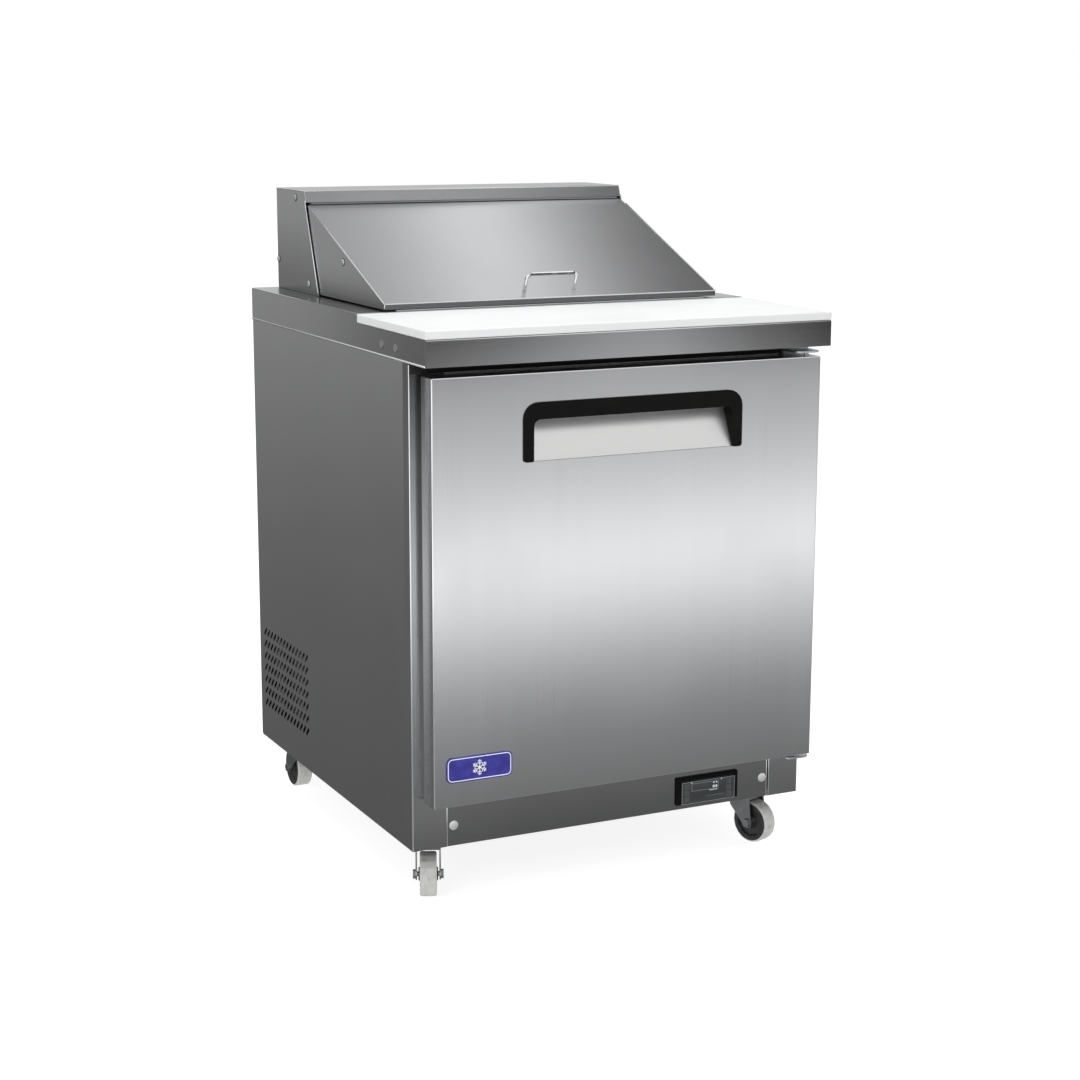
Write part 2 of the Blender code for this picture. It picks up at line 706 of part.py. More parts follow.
def door_skin():
    """Outer door sheet: front, four returns and the opening for the grip."""
    bm = box(bmesh.new(), (DOOR_LEFT, DOOR_FRONT, DOOR_BOTTOM), (DOOR_RIGHT, DOOR_BACK - 0.0015, DOOR_TOP))
    open_up(bm, lambda middle, normal: normal.y > 0.5)
    round_folds(bm, radius=0.0015)
    skin = add("door_skin", bm, STEEL, DOOR_PIVOT)
    thicken(skin, DOOR_SHEET)
    grip = box(bmesh.new(), (GRIP_LEFT, DOOR_FRONT - 0.01, GRIP_BOTTOM),
               (GRIP_RIGHT, DOOR_FRONT + 0.01, GRIP_TOP))
    cut(skin, tool("door_skin_grip", grip, DOOR_PIVOT))
    cut(skin, pin_holes("door_skin_pin_holes"))


def door_liner():
    """Foam-filled inner door with its raised panel, cut away behind the grip."""
    inset = DOOR_SHEET + GAP
    bm = box(bmesh.new(), (DOOR_LEFT + inset, DOOR_FRONT + inset, DOOR_BOTTOM + inset),
             (DOOR_RIGHT - inset, DOOR_BACK, DOOR_TOP - inset))
    inner = add("door_liner", bm, LINER_WHITE, DOOR_PIVOT)
    outline = rounded_rectangle(0.268, 0.280, 0.015, 2, (0.0, 0.505))
    raised = prism(bmesh.new(), outline, "Y", DOOR_BACK - 0.01, -0.317)
    join(inner, tool("door_liner_raised_panel", raised, DOOR_PIVOT))
    back = offset_path(GRIP_SCOOP, 0.0014)
    outline = [(DOOR_FRONT - 0.01, back[0].y), *[tuple(point) for point in back],
               (DOOR_FRONT - 0.01, back[-1].y)]
    pocket = prism(bmesh.new(), outline, "X", GRIP_LEFT - 0.0005, GRIP_RIGHT + 0.0005)
    cut(inner, tool("door_liner_grip_pocket", pocket, DOOR_PIVOT))
    cut(inner, pin_holes("door_liner_pin_holes"))


def door_gasket():
    """Magnetic gasket: a ring between the door and the cabinet's face."""
    centre = (-0.001, 0.506)
    outer = rounded_rectangle(0.321, 0.316, 0.008, 1, centre)
    inner = rounded_rectangle(0.303, 0.298, 0.004, 1, centre)
    bm = prism(bmesh.new(), outer, "Y", DOOR_BACK + GAP, FRONT - GAP)
    ring = add("door_gasket", bm, GREY_RUBBER, DOOR_PIVOT)
    hole = prism(bmesh.new(), inner, "Y", DOOR_BACK - 0.01, FRONT + 0.01)
    cut(ring, tool("door_gasket_hole", hole, DOOR_PIVOT))


def handle_scoop():
    """Stainless scoop behind the grip: it slopes in from the door's face and curls forward at the top."""
    left, right = GRIP_LEFT + TRIM_WALL + 2 * GAP, GRIP_RIGHT - TRIM_WALL - 2 * GAP
    bm = bmesh.new()
    rows = [[bm.verts.new((x, *point)) for point in GRIP_SCOOP] for x in (left, right)]
    for i in range(len(GRIP_SCOOP) - 1):
        bm.faces.new((rows[0][i], rows[1][i], rows[1][i + 1], rows[0][i + 1]))
    thicken(add("handle_scoop", bm, STEEL, DOOR_PIVOT), 0.0008)


def handle_trim():
    """Black grip trim: an arch on the door's face, its bar and side walls reaching into the pocket."""
    front, back = DOOR_FRONT - 0.0026, DOOR_FRONT - GAP
    inner_left, inner_right = GRIP_LEFT + 0.002, GRIP_RIGHT - 0.002
    bar_bottom = GRIP_TOP - 0.002
    corner, inner_corner = 0.025, 0.010
    foot, inner_foot = 0.004, 0.0025
    outline = [*arc((TRIM_LEFT + foot, TRIM_BOTTOM + foot), foot, 270, 180, 2)]
    outline += arc((TRIM_LEFT + corner, TRIM_TOP - corner), corner, 180, 90, 5)
    outline += arc((TRIM_RIGHT - corner, TRIM_TOP - corner), corner, 90, 0, 5)
    outline += arc((TRIM_RIGHT - foot, TRIM_BOTTOM + foot), foot, 0, -90, 2)
    outline += arc((inner_right + inner_foot, TRIM_BOTTOM + inner_foot), inner_foot, 270, 180, 2)
    outline += arc((inner_right - inner_corner, bar_bottom - inner_corner), inner_corner, 0, 90, 3)
    outline += arc((inner_left + inner_corner, bar_bottom - inner_corner), inner_corner, 90, 180, 3)
    outline += arc((inner_left - inner_foot, TRIM_BOTTOM + inner_foot), inner_foot, 0, -90, 2)
    trim = add("handle_trim", prism(bmesh.new(), outline, "Y", front, back), BLACK_PLASTIC, DOOR_PIVOT)
    reach = DOOR_FRONT - 0.001
    bar = box(bmesh.new(), (GRIP_LEFT + GAP, reach, bar_bottom),
              (GRIP_RIGHT - GAP, DOOR_FRONT + 0.007, GRIP_TOP - GAP))
    join(trim, tool("handle_trim_bar", bar, DOOR_PIVOT))
    below, above = Vector(GRIP_SCOOP[1]), Vector(GRIP_SCOOP[2])
    crossing = below.lerp(above, (GRIP_TOP - GAP - below.y) / (above.y - below.y))
    wall = [(reach, GRIP_SCOOP[0][1]), *GRIP_SCOOP[:2], tuple(crossing), (reach, GRIP_TOP - GAP)]
    for name, start in (("left", GRIP_LEFT + GAP), ("right", GRIP_RIGHT - GAP - TRIM_WALL)):
        cheek = prism(bmesh.new(), wall, "X", start, start + TRIM_WALL)
        join(trim, tool("handle_trim_wall_" + name, cheek, DOOR_PIVOT))


def door_badge():
    """Plain rounded plate."""
    outline = rounded_rectangle(0.055, 0.020, 0.009, 4, (-0.259, 0.2345))
    bm = prism(bmesh.new(), outline, "Y", DOOR_FRONT - 0.0018, DOOR_FRONT - GAP)
    add("door_badge", bm, BADGE_BLUE, DOOR_PIVOT)


def door_hinge(name, plate_low, pin_low, pin_high, leaf_left, leaf_low, leaf_high):
    """Bent bracket on the cabinet's face, with the pin that the door turns on."""
    left, right = 0.300, 0.345
    leaf_front = FRONT - GAP - 0.0025
    leaf = box(bmesh.new(), (leaf_left, leaf_front, leaf_low), (right, FRONT - GAP, leaf_high))
    bracket = add(name, leaf, GALVANISED)
    corner = 0.012
    outline = [(left, FRONT - GAP), *arc((left + corner, -0.367 + corner), corner, 180, 270, 3),
               *arc((right - corner, -0.367 + corner), corner, 270, 360, 3), (right, FRONT - GAP)]
    plate = prism(bmesh.new(), outline, "Z", plate_low, plate_low + 0.003)
    join(bracket, tool(name + "_plate", plate))
    middle = (*DOOR_PIN, (pin_low + pin_high) / 2)
    pin = cylinder(bmesh.new(), PIN_RADIUS, pin_high - pin_low, middle, "Z", 12)
    join(bracket, tool(name + "_pin", pin))


# ---------------------------------------------------------------- inside the cabinet

def shelf_rail(name, side):
    """Angle rail on the liner's wall that the shelf rests on."""
    wall = side * (CAVITY_HALF - 0.0016)
    outline = [(wall, 0.480), (wall, 0.500), (wall - side * 0.0135, 0.500), (wall - side * 0.0135, 0.4985),
               (wall - side * 0.0015, 0.4985), (wall - side * 0.0015, 0.480)]
    bm = prism(bmesh.new(), outline, "Y", -0.255, 0.225)
    add(name, bm, GALVANISED)


def wire_shelf():
    """Coated wire shelf: a frame of thicker rod and wires from front to back."""
    half, front, back, z = 0.283, -0.250, 0.215, 0.5033
    corners = [(-half, front, z), (half, front, z), (half, back, z), (-half, back, z)]
    frame = as_mesh(wire("wire_shelf", corners, 0.003, 8, PARTS, cyclic=True), PARTS)
    frame.data.materials.append(material("wire_shelf", WHITE_PLASTIC))
    wires = bmesh.new()
    count = 11
    for i in range(count):
        x = -half + 2 * half * (i + 1) / (count + 1)
        cylinder(wires, 0.0018, back - front, (x, (front + back) / 2, z + 0.0008), "Y", 6)
    join(frame, tool("wire_shelf_wires", wires))
    brace = cylinder(bmesh.new(), 0.0024, 2 * half, (0, (front + back) / 2, z - 0.0005), "X", 6)
    join(frame, tool("wire_shelf_brace", brace))


def fins(name, low, high, count, look):
    """A finned block: fins stand on edge and look along X, joined by a core."""
    pitch = (high.y - low.y) / count
    core_low, core_high = low.x + 0.4 * (high.x - low.x), low.x + 0.6 * (high.x - low.x)
    outward, inward = [], []
    for i in range(count):
        start, end = low.y + pitch * i, low.y + pitch * (i + 0.45)
        outward += [(core_high, start), (high.x, start), (high.x, end), (core_high, end)]
        inward += [(core_low, start), (low.x, start), (low.x, end), (core_low, end)]
    outline = outward + inward[::-1]
    return add(name, prism(bmesh.new(), outline, "Z", low.z, high.z), look)


def condenser():
    half = Vector((0.028, 0.100, 0.095))
    fins("condenser_coil", CONDENSER_MIDDLE - half, CONDENSER_MIDDLE + half, 14, COPPER_FIN)
    left = CONDENSER_MIDDLE.x + half.x + 0.001
    low = (left, CONDENSER_MIDDLE.y - half.y, CONDENSER_MIDDLE.z - half.z)
    high = (left + 0.030, CONDENSER_MIDDLE.y + half.y, CONDENSER_MIDDLE.z + half.z)
    tray = open_up(box(bmesh.new(), low, high), lambda middle, normal: normal.x < -0.5)
    shroud = add("condenser_shroud", tray, DARK_STEEL)
    thicken(shroud, 0.001)
    hole = cylinder(bmesh.new(), 0.086, 0.040, (high[0], FAN_MIDDLE.y, FAN_MIDDLE.z), "X", 24)
    cut(shroud, tool("condenser_shroud_hole", hole))


def fan(name, hinge, radius, hub, depth, blades, axis):
    """Axial fan: twisted blades joined to a hub, built about +Z and laid on its axis."""
    body = add(name, cylinder(bmesh.new(), hub, depth, (0, 0, 0), "Z", 16), BLACK_PLASTIC, hinge, local=True)
    sweep = bmesh.new()
    for blade in range(blades):
        rows = []
        for share in (0.0, 0.5, 1.0):
            reach = 0.7 * hub + (radius - 0.7 * hub) * share
            half_chord = (0.34 + 0.10 * share) * radius * 0.5
            tilt = math.radians(42 - 20 * share)
            turn = Matrix.Rotation(2 * math.pi * blade / blades, 3, "Z")
            edge = Vector((0, half_chord * math.cos(tilt), depth * 0.42 * math.sin(tilt)))
            spread = [Vector((reach, 0, 0)) + edge * side for side in (-1, 1)]
            rows.append([sweep.verts.new(turn @ point) for point in spread])
        for inner, outer in zip(rows, rows[1:]):
            sweep.faces.new((inner[0], outer[0], outer[1], inner[1]))
    blade_tool = tool(name + "_blades", sweep, hinge, local=True)
    thicken(blade_tool, 0.0015, 0.0)
    join(body, blade_tool)
    for obj in (body, blade_tool):
        obj.rotation_euler = {"X": (0, math.pi / 2, 0), "Y": (math.pi / 2, 0, 0)}[axis]


def condenser_fan_motor():
    """Motor behind the condenser fan, on its foot."""
    x = FAN_MIDDLE.x + 0.042
    bm = cylinder(bmesh.new(), 0.032, 0.052, (x, FAN_MIDDLE.y, FAN_MIDDLE.z), "X", 16)
    motor = add("condenser_fan_motor", bm, BLACK_PAINT, smooth=True)
    post = box(bmesh.new(), (x - 0.012, FAN_MIDDLE.y - 0.010, 0.0985),
               (x + 0.012, FAN_MIDDLE.y + 0.010, FAN_MIDDLE.z))
    join(motor, tool("condenser_fan_motor_post", post))
    foot = box(bmesh.new(), (x - 0.020, FAN_MIDDLE.y - 0.035, 0.0968),
               (x + 0.020, FAN_MIDDLE.y + 0.035, 0.0993))
    join(motor, tool("condenser_fan_motor_foot", foot))


def compressor():
    """Hermetic compressor: a domed shell on its mounting plate, with the terminal cover."""
    profile = [(0.100, 0.0), (0.100, 0.046), (0.108, 0.056), (0.125, 0.060), (0.180, 0.060),
               (0.182, 0.063), (0.188, 0.063), (0.190, 0.060), (0.225, 0.057), (0.245, 0.043),
               (0.252, 0.022), (0.254, 0.0)]
    bm = bmesh.new()
    points = [bm.verts.new((radius, 0, along)) for along, radius in reversed(profile)]
    for first, second in zip(points, points[1:]):
        bm.edges.new((first, second))
    dome = link_mesh("compressor", bm, PARTS)
    dome.data.materials.append(material("compressor", BLACK_PAINT))
    dome.location = (0.075, 0.250, 0.0)
    step = dome.modifiers.new("turn", "SCREW")
    step.steps = 18
    step.render_steps = 18
    step.use_merge_vertices = True
    step.merge_threshold = 0.00001
    step.use_smooth_shade = True
    plate = box(bmesh.new(), (-0.015, 0.190, 0.0968), (0.165, 0.310, 0.1010))
    join(dome, tool("compressor_plate", plate))
    cover = box(bmesh.new(), (0.120, 0.225, 0.135), (0.150, 0.275, 0.180))
    join(dome, tool("compressor_terminal_cover", cover))


def condensate_pan():
    bm = box(bmesh.new(), (0.195, 0.150, 0.0968), (0.335, 0.360, 0.130))
    open_up(bm, lambda middle, normal: normal.z > 0.5)
    thicken(add("condensate_pan", bm, BLACK_PLASTIC), 0.002)


def evaporator():
    """Coil, fan motor and cover on the cabinet's rear wall."""
    back = CAVITY_BACK - 0.0016
    low, high = (-0.190, 0.250, 0.400), (0.190, back, 0.640)
    tray = open_up(box(bmesh.new(), low, high), lambda middle, normal: normal.y > 0.5)
    cover = add("evaporator_cover", tray, LINER_WHITE)
    thicken(cover, 0.0015)
    hole = cylinder(bmesh.new(), 0.064, 0.030, (EVAPORATOR_FAN.x, low[1], EVAPORATOR_FAN.z), "Y", 24)
    cut(cover, tool("evaporator_cover_hole", hole))
    slots = bmesh.new()
    for i in range(8):
        x = -0.154 + 0.044 * i
        box(slots, (x - 0.014, 0.270, 0.630), (x + 0.014, 0.330, 0.650))
    cut(cover, tool("evaporator_cover_slots", slots))
    half = Vector((0.0185, 0.170, 0))
    coil = fins("evaporator_coil", Vector((0, 0, 0.415)) - half, Vector((0, 0, 0.625)) + half, 14,
                COPPER_FIN)
    coil.rotation_euler = (0, 0, math.pi / 2)
    coil.location = (0, back - 0.021, 0)
    motor = cylinder(bmesh.new(), 0.022, 0.020, (0, EVAPORATOR_FAN.y + 0.0215, EVAPORATOR_FAN.z), "Y", 12)
    add("evaporator_fan_motor", motor, BLACK_PLASTIC, smooth=True)


# ---------------------------------------------------------------- casters

def caster_plate(name, x, y):
    """Top plate with the swivel race under it."""
    top = CASTER_HEIGHT - GAP
    sheet = box(bmesh.new(), (-0.031, -0.031, top - 0.0025), (0.031, 0.031, top))
    plate = add("caster_plate_" + name, sheet, GALVANISED)
    plate.location = (x, y, 0)
    race = cylinder(bmesh.new(), 0.0205, 0.0145, (0, 0, top - 0.0085), "Z", 20, 0.0225)
    ring = tool("caster_race_" + name, race)
    ring.location = (x, y, 0)
    join(plate, ring)


def caster_fork(name, swivel):
    """Bent fork: a crown and two tapered legs, with the axle bolt across them."""
    axle = (TRAIL, WHEEL_RADIUS)
    leg = [(-0.019, CROWN), (-0.015, 0.060), *arc(axle, 0.0095, 215, 395, 5),
           (0.027, 0.062), (0.025, CROWN)]
    bm = prism(bmesh.new(), leg, "X", -FORK_HALF, FORK_HALF)
    open_up(bm, lambda middle, normal: abs(normal.x) < 0.5
            and not (normal.z > 0.9 and middle.z > CROWN - 0.001))
    fork = add("caster_fork_" + name, bm, GALVANISED, swivel, local=True)
    thicken(fork, FORK_SHEET, 0.0)
    bolt = cylinder(bmesh.new(), 0.004, 2 * FORK_HALF + 0.004, (0, *axle), "X", 10)
    join(fork, tool("caster_bolt_" + name, bolt, swivel, local=True))
    heads = bmesh.new()
    for side in (-1, 1):
        cylinder(heads, 0.0075, 0.005, (side * (FORK_HALF + 0.003), *axle), "X", 6)
    join(fork, tool("caster_bolt_heads_" + name, heads, swivel, local=True))


def caster_wheel(name, axle):
    """Wheel turned about X: bore, hub, thin web, rim and rounded tread."""
    tread = WHEEL_RADIUS / math.cos(math.pi / WHEEL_STEPS)
    half = [(0.0155, 0.0048), (0.0155, 0.0105), (0.0090, 0.0125), (0.0090, 0.0235), (0.0130, 0.0255),
            (0.0134, 0.0332), (0.0110, tread)]
    profile = half + [(-along, radius) for along, radius in reversed(half)]
    turned("caster_wheel_" + name, profile, WHEEL_STEPS, "X", TREAD_GREY, axle)


def caster(name, x, y, turn):
    caster_plate(name, x, y)
    swivel = pivot("swivel_" + name, (x, y, 0), None, math.radians(turn))
    caster_fork(name, swivel)
    axle = pivot("axle_" + name, (0, TRAIL, WHEEL_RADIUS), swivel)
    caster_wheel(name, axle)


# ---------------------------------------------------------------- build

clear_scene()
PARTS = collection("sandwich_prep_table")
CUTTERS = collection("cutters")
CUTTERS.hide_render = True
LID_PIVOT = pivot("lid_pivot", (0, *LID_PIN))
DOOR_PIVOT = pivot("door_pivot", (*DOOR_PIN, 0.505))
BOARD_PIVOT = pivot("board_pivot", (0, (BOARD_BACK - DEPTH / 2) / 2, BOARD_TOP))

louvre(side_panel("side_panel_left", -1), -1)
side_panel("side_panel_right", 1)
back_panel()
base_pan()
foam_core()
liner()
front_frame()
kick_panel()
controller()
power_inlet()
worktop()
cutting_board()
pan_rail()
for number, (pan_x, pan_y) in enumerate(pan_centres(), start=1):
    food_pan(number, pan_x, pan_y)
hood_shell()
lid_skin()
lid_liner()
lid_handle()
lid_hinge()
door_skin()
door_liner()
door_gasket()
handle_scoop()
handle_trim()
door_badge()
door_hinge("door_hinge_top", 0.8395, 0.820, 0.841, 0.300, 0.826, 0.8505)
door_hinge("door_hinge_bottom", 0.168, 0.169, 0.190, 0.3215, 0.168, 0.212)
shelf_rail("shelf_rail_left", -1)
shelf_rail("shelf_rail_right", 1)
wire_shelf()
condenser()
fan("condenser_fan", pivot("condenser_fan_pivot", FAN_MIDDLE), 0.078, 0.020, 0.022, 5, "X")
condenser_fan_motor()
compressor()
condensate_pan()
evaporator()
fan("evaporator_fan", pivot("evaporator_fan_pivot", EVAPORATOR_FAN), 0.056, 0.015, 0.018, 5, "Y")
for caster_name, caster_x, caster_y, caster_turn in CASTERS:
    caster(caster_name, caster_x, caster_y, caster_turn)
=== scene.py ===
"""Looks of a one-door refrigerated sandwich prep table: finishes, small fittings, light and camera."""
import json
import math

import bmesh
import bpy
from mathutils import Matrix, Vector


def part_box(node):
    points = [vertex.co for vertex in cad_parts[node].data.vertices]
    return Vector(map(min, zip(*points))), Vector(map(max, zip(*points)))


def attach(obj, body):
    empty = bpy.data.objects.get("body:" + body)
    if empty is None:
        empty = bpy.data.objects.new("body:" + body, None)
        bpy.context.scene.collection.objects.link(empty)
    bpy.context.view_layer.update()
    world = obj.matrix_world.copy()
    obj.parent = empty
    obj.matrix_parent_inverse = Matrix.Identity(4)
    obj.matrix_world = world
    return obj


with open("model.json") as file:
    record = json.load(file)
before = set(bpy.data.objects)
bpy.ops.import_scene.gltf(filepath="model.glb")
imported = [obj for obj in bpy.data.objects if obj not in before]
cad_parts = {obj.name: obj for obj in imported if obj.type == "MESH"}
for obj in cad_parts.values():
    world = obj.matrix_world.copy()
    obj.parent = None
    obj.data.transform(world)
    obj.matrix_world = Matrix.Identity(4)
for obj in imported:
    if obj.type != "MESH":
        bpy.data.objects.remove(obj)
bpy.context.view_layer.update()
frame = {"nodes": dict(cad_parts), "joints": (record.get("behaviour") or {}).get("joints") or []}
nodes = frame["nodes"]
joints = {joint["name"]: joint for joint in frame["joints"]}

CASTERS = ("front_left", "front_right", "rear_left", "rear_right")


# ---------------------------------------------------------------- finishes

class Wire:
    """A shader value; arithmetic on it adds Math nodes."""

    def __init__(self, finish, socket):
        self.finish = finish
        self.socket = socket

    def math(self, operation, *values):
        return self.finish.node("ShaderNodeMath", {"operation": operation}, dict(enumerate(values)))

    def __add__(self, other):
        return self.math("ADD", self, other)

    __radd__ = __add__

    def __sub__(self, other):
        return self.math("SUBTRACT", self, other)

    def __rsub__(self, other):
        return self.math("SUBTRACT", other, self)

    def __mul__(self, other):
        return self.math("MULTIPLY", self, other)

    __rmul__ = __mul__

    def __gt__(self, other):
        return self.math("GREATER_THAN", self, other)

    def __lt__(self, other):
        return self.math("LESS_THAN", self, other)

    def __abs__(self):
        return self.math("ABSOLUTE", self)


class Finish:
    """A procedural material on Object coordinates, or a world when it is given a node tree."""

    def __init__(self, name, tree=None):
        if tree is None:
            self.material = bpy.data.materials.new(name)
            self.material.use_nodes = True
            tree = self.material.node_tree
        self.tree = tree
        self.tree.nodes.clear()
        self.place = self.node("ShaderNodeTexCoord", {}, {}, "Object")

    def node(self, kind, settings, sockets, output=0):
        """Adds a node: its settings first, then the values or links of its sockets."""
        node = self.tree.nodes.new(kind)
        for name, value in settings.items():
            if name == "stops":
                self.set_stops(node.color_ramp, value)
            else:
                setattr(node, name, value)
        for name, value in sockets.items():
            if isinstance(value, Wire):
                self.tree.links.new(value.socket, node.inputs[name])
            else:
                node.inputs[name].default_value = value
        return Wire(self, node.outputs[output]) if node.outputs else node

    @staticmethod
    def set_stops(ramp, stops):
        while len(ramp.elements) > 1:
            ramp.elements.remove(ramp.elements[-1])
        for index, (position, level) in enumerate(stops):
            element = ramp.elements[0] if index == 0 else ramp.elements.new(position)
            element.position = position
            element.color = (*level, 1) if isinstance(level, tuple) else (level, level, level, 1)

    def ramp(self, value, stops):
        return self.node("ShaderNodeValToRGB", {"stops": stops}, {"Fac": value}, "Color")

    def graph(self, value, points):
        """A smooth level over a value, through the given points."""
        low, high = points[0][0], points[-1][0]
        peak = max(level for _, level in points)
        share = self.node("ShaderNodeMapRange", {"clamp": True},
                          {"Value": value, "From Min": low, "From Max": high, "To Min": 0.0, "To Max": 1.0})
        stops = [((place - low) / (high - low), level / peak) for place, level in points]
        return self.axis("X", self.ramp(share, stops)) * peak

    def spread(self, value, low, high, start=0.0, end=1.0):
        """Smoothly carries low..high over to start..end."""
        return self.node("ShaderNodeMapRange", {"interpolation_type": "SMOOTHSTEP", "clamp": True},
                         {"Value": value, "From Min": low, "From Max": high, "To Min": start, "To Max": end})

    def axis(self, letter, place=None):
        return self.node("ShaderNodeSeparateXYZ", {}, {"Vector": place or self.place}, letter)

    def vector(self, operation, first, second):
        return self.node("ShaderNodeVectorMath", {"operation": operation}, {0: first, 1: second}, "Vector")

    def larger(self, first, second):
        return self.node("ShaderNodeMath", {"operation": "MAXIMUM"}, {0: first, 1: second})

    def mapped(self, scale=(1, 1, 1), centre=(0, 0, 0), turn=(0, 0, 0)):
        """Object coordinates about a centre, turned and then stretched."""
        moved = self.vector("SUBTRACT", self.place, centre)
        return self.node("ShaderNodeMapping", {"vector_type": "POINT"},
                         {"Vector": moved, "Rotation": turn, "Scale": scale}, "Vector")

    def noise(self, scale, stretch=(1, 1, 1), detail=2.0, rough=0.5, turn=(0, 0, 0)):
        place = self.mapped(stretch, turn=turn)
        return self.node("ShaderNodeTexNoise", {}, {"Vector": place, "Scale": scale, "Detail": detail,
                                                    "Roughness": rough}, "Fac")

    def mix(self, amount, first, second):
        """Between two colours."""
        first, second = (tone if isinstance(tone, Wire) else (*tone, 1) for tone in (first, second))
        return self.node("ShaderNodeMix", {"data_type": "RGBA"}, {0: amount, 6: first, 7: second}, 2)

    def bump(self, height, depth, strength=1.0):
        sockets = {"Height": height, "Distance": depth, "Strength": strength}
        return self.node("ShaderNodeBump", {}, sockets, "Normal")

    def done(self, **sockets):
        """Closes the material with a Principled shader."""
        values = {name.replace("_", " "): value for name, value in sockets.items()}
        tone = values.get("Base Color")
        if isinstance(tone, tuple):
            values["Base Color"] = (*tone, 1)
        shader = self.node("ShaderNodeBsdfPrincipled", {}, values, "BSDF")
        self.node("ShaderNodeOutputMaterial", {}, {"Surface": shader})
        return self.material


GRAIN = {"X": (2, 1300, 1300), "Y": (1300, 2, 1300), "Z": (1300, 1300, 2)}
BAND = {"X": (0.3, 26, 26), "Y": (26, 0.3, 26), "Z": (26, 26, 0.3)}
PAINTED_SHADE_LEFT = 0.22             # share of a sheet's tone that is left where the painted shade is darkest


def stainless(name, grain, tone=(0.55, 0.555, 0.565), roughness=0.22, turn=(0, 0, 0), smear=0.03, dulling_and_painted_shade=None):
    """Satin sheet: hair-fine brushing along the grain, faint wider bands and wiped smears."""
    steel = Finish(name)
    hair = steel.noise(1.0, GRAIN[grain], 2.0, 0.6, turn)
    band = steel.noise(1.0, BAND[grain], 3.0, 0.55, turn)
    wiped = steel.noise(5.0, detail=3.0)
    fine = steel.spread(hair, 0.25, 0.75, -0.5, 0.5) * 0.40
    shade = fine + steel.spread(band, 0.3, 0.7, -0.5, 0.5) * 0.14 + 0.5
    dark, light = (tuple(channel * share for channel in tone) for share in (0.95, 1.05))
    colour = steel.mix(shade, dark, light)
    # Painted shade: where a mask is given, it darkens the sheet's tone down to a small share of it.
    if dulling_and_painted_shade:
        colour = steel.mix(dulling_and_painted_shade(steel), colour, tuple(channel * PAINTED_SHADE_LEFT for channel in tone))
    rough = steel.spread(hair, 0.2, 0.8, roughness - 0.02, roughness + 0.02)
    rough = rough + steel.spread(wiped, 0.45, 0.75, 0.0, smear)
    normal = steel.bump(hair, 0.00006, 0.10)
    return steel.done(Base_Color=colour, Metallic=1.0, Roughness=rough, Normal=normal)


def hood_painted_shade(steel):
    """Painted shade: the hood's sides darken towards the deck."""
    side = abs(steel.axis("X")) > 0.3002
    fall = [(0.905, 0.62), (0.935, 0.58), (0.98, 0.34), (1.03, 0.08), (1.08, 0.0)]
    return side * steel.graph(steel.axis("Z"), fall)


def lid_painted_shade(steel):
    """Painted shade: the lid's cheeks darken towards their foot; its lip and the fold by the hinge are
    painted dark.
    """
    across, along, up = (steel.axis(letter) for letter in "XYZ")
    cheek = abs(across) > 0.2978
    lip = (along < -0.1085) * (up < 0.9178)
    head = along > 0.2275
    foot = steel.graph(up, [(0.910, 0.62), (0.925, 0.52), (0.940, 0.22), (0.965, 0.0), (1.06, 0.0)])
    return steel.larger(cheek * foot, lip + head)


def scoop_painted_shade(steel):
    """Painted light and shade: the recess is painted darker lower down, so it is brightest right under the
    grip.
    """
    return steel.graph(steel.axis("Z"), [(0.70, 0.42), (0.735, 0.36), (0.765, 0.12), (0.787, 0.0)])


def panel_painted_shade(steel):
    """Painted shade: the side panels' front folds darken towards the worktop."""
    across, along, up = (steel.axis(letter) for letter in "XYZ")
    fold = (along < -0.3213) * (abs(across) > 0.2915)
    edge = (along < -0.300) * (along > -0.3213) * (abs(across) > 0.3475)
    fall = steel.graph(up, [(0.09, 0.0), (0.40, 0.0), (0.55, 0.15), (0.70, 0.40), (0.78, 0.72), (0.85, 1.0)])
    return (fold + edge * 0.8) * fall


def worktop_painted_shade(steel):
    """Painted shade: the worktop's side skirts darken towards the front, and its front skirt towards both
    ends.
    """
    out = abs(steel.axis("X"))
    skirt = steel.axis("Z") < 0.9055
    side = (out > 0.3478) * (out < 0.3492) * skirt
    front = (steel.axis("Y") < -0.3868) * skirt
    along = steel.graph(steel.axis("Y"), [
        (-0.388, 0.66), (-0.30, 0.60), (-0.15, 0.42), (0.0, 0.18), (0.15, 0.05), (0.388, 0.0)])
    across = steel.graph(steel.axis("X"), [
        (-0.35, 0.56), (-0.25, 0.34), (-0.15, 0.16), (0.05, 0.06), (0.15, 0.26), (0.25, 0.56), (0.35, 0.90)])
    return side * along + front * (1 - side) * across


def zinc(name, tone=(0.60, 0.62, 0.64), roughness=0.36):
    """Plated steel with its faint crystals and a few dull patches."""
    plate = Finish(name)
    cells = plate.node("ShaderNodeTexVoronoi", {}, {"Vector": plate.place, "Scale": 160.0}, "Color")
    spangle = plate.axis("X", cells)
    dulling_and_painted_shade = plate.noise(38.0, detail=3.0)
    shade = plate.spread(spangle, 0.0, 1.0, 0.2, 0.8) * 0.5 + plate.spread(dulling_and_painted_shade, 0.35, 0.7, 0.0, 0.5)
    dark, light = (tuple(channel * share for channel in tone) for share in (0.80, 1.12))
    rough = plate.spread(dulling_and_painted_shade, 0.35, 0.7, roughness - 0.06, roughness + 0.14)
    return plate.done(Base_Color=plate.mix(shade, light, dark), Metallic=1.0, Roughness=rough,
                      Normal=plate.bump(dulling_and_painted_shade, 0.0003, 0.25))


def chrome(name):
    rod = Finish(name)
    mist = rod.noise(60.0, detail=2.0)
    return rod.done(Base_Color=rod.mix(mist, (0.80, 0.80, 0.81), (0.88, 0.88, 0.89)), Metallic=1.0,
                    Roughness=rod.spread(mist, 0.35, 0.75, 0.07, 0.15), Normal=rod.bump(mist, 0.0002, 0.05))


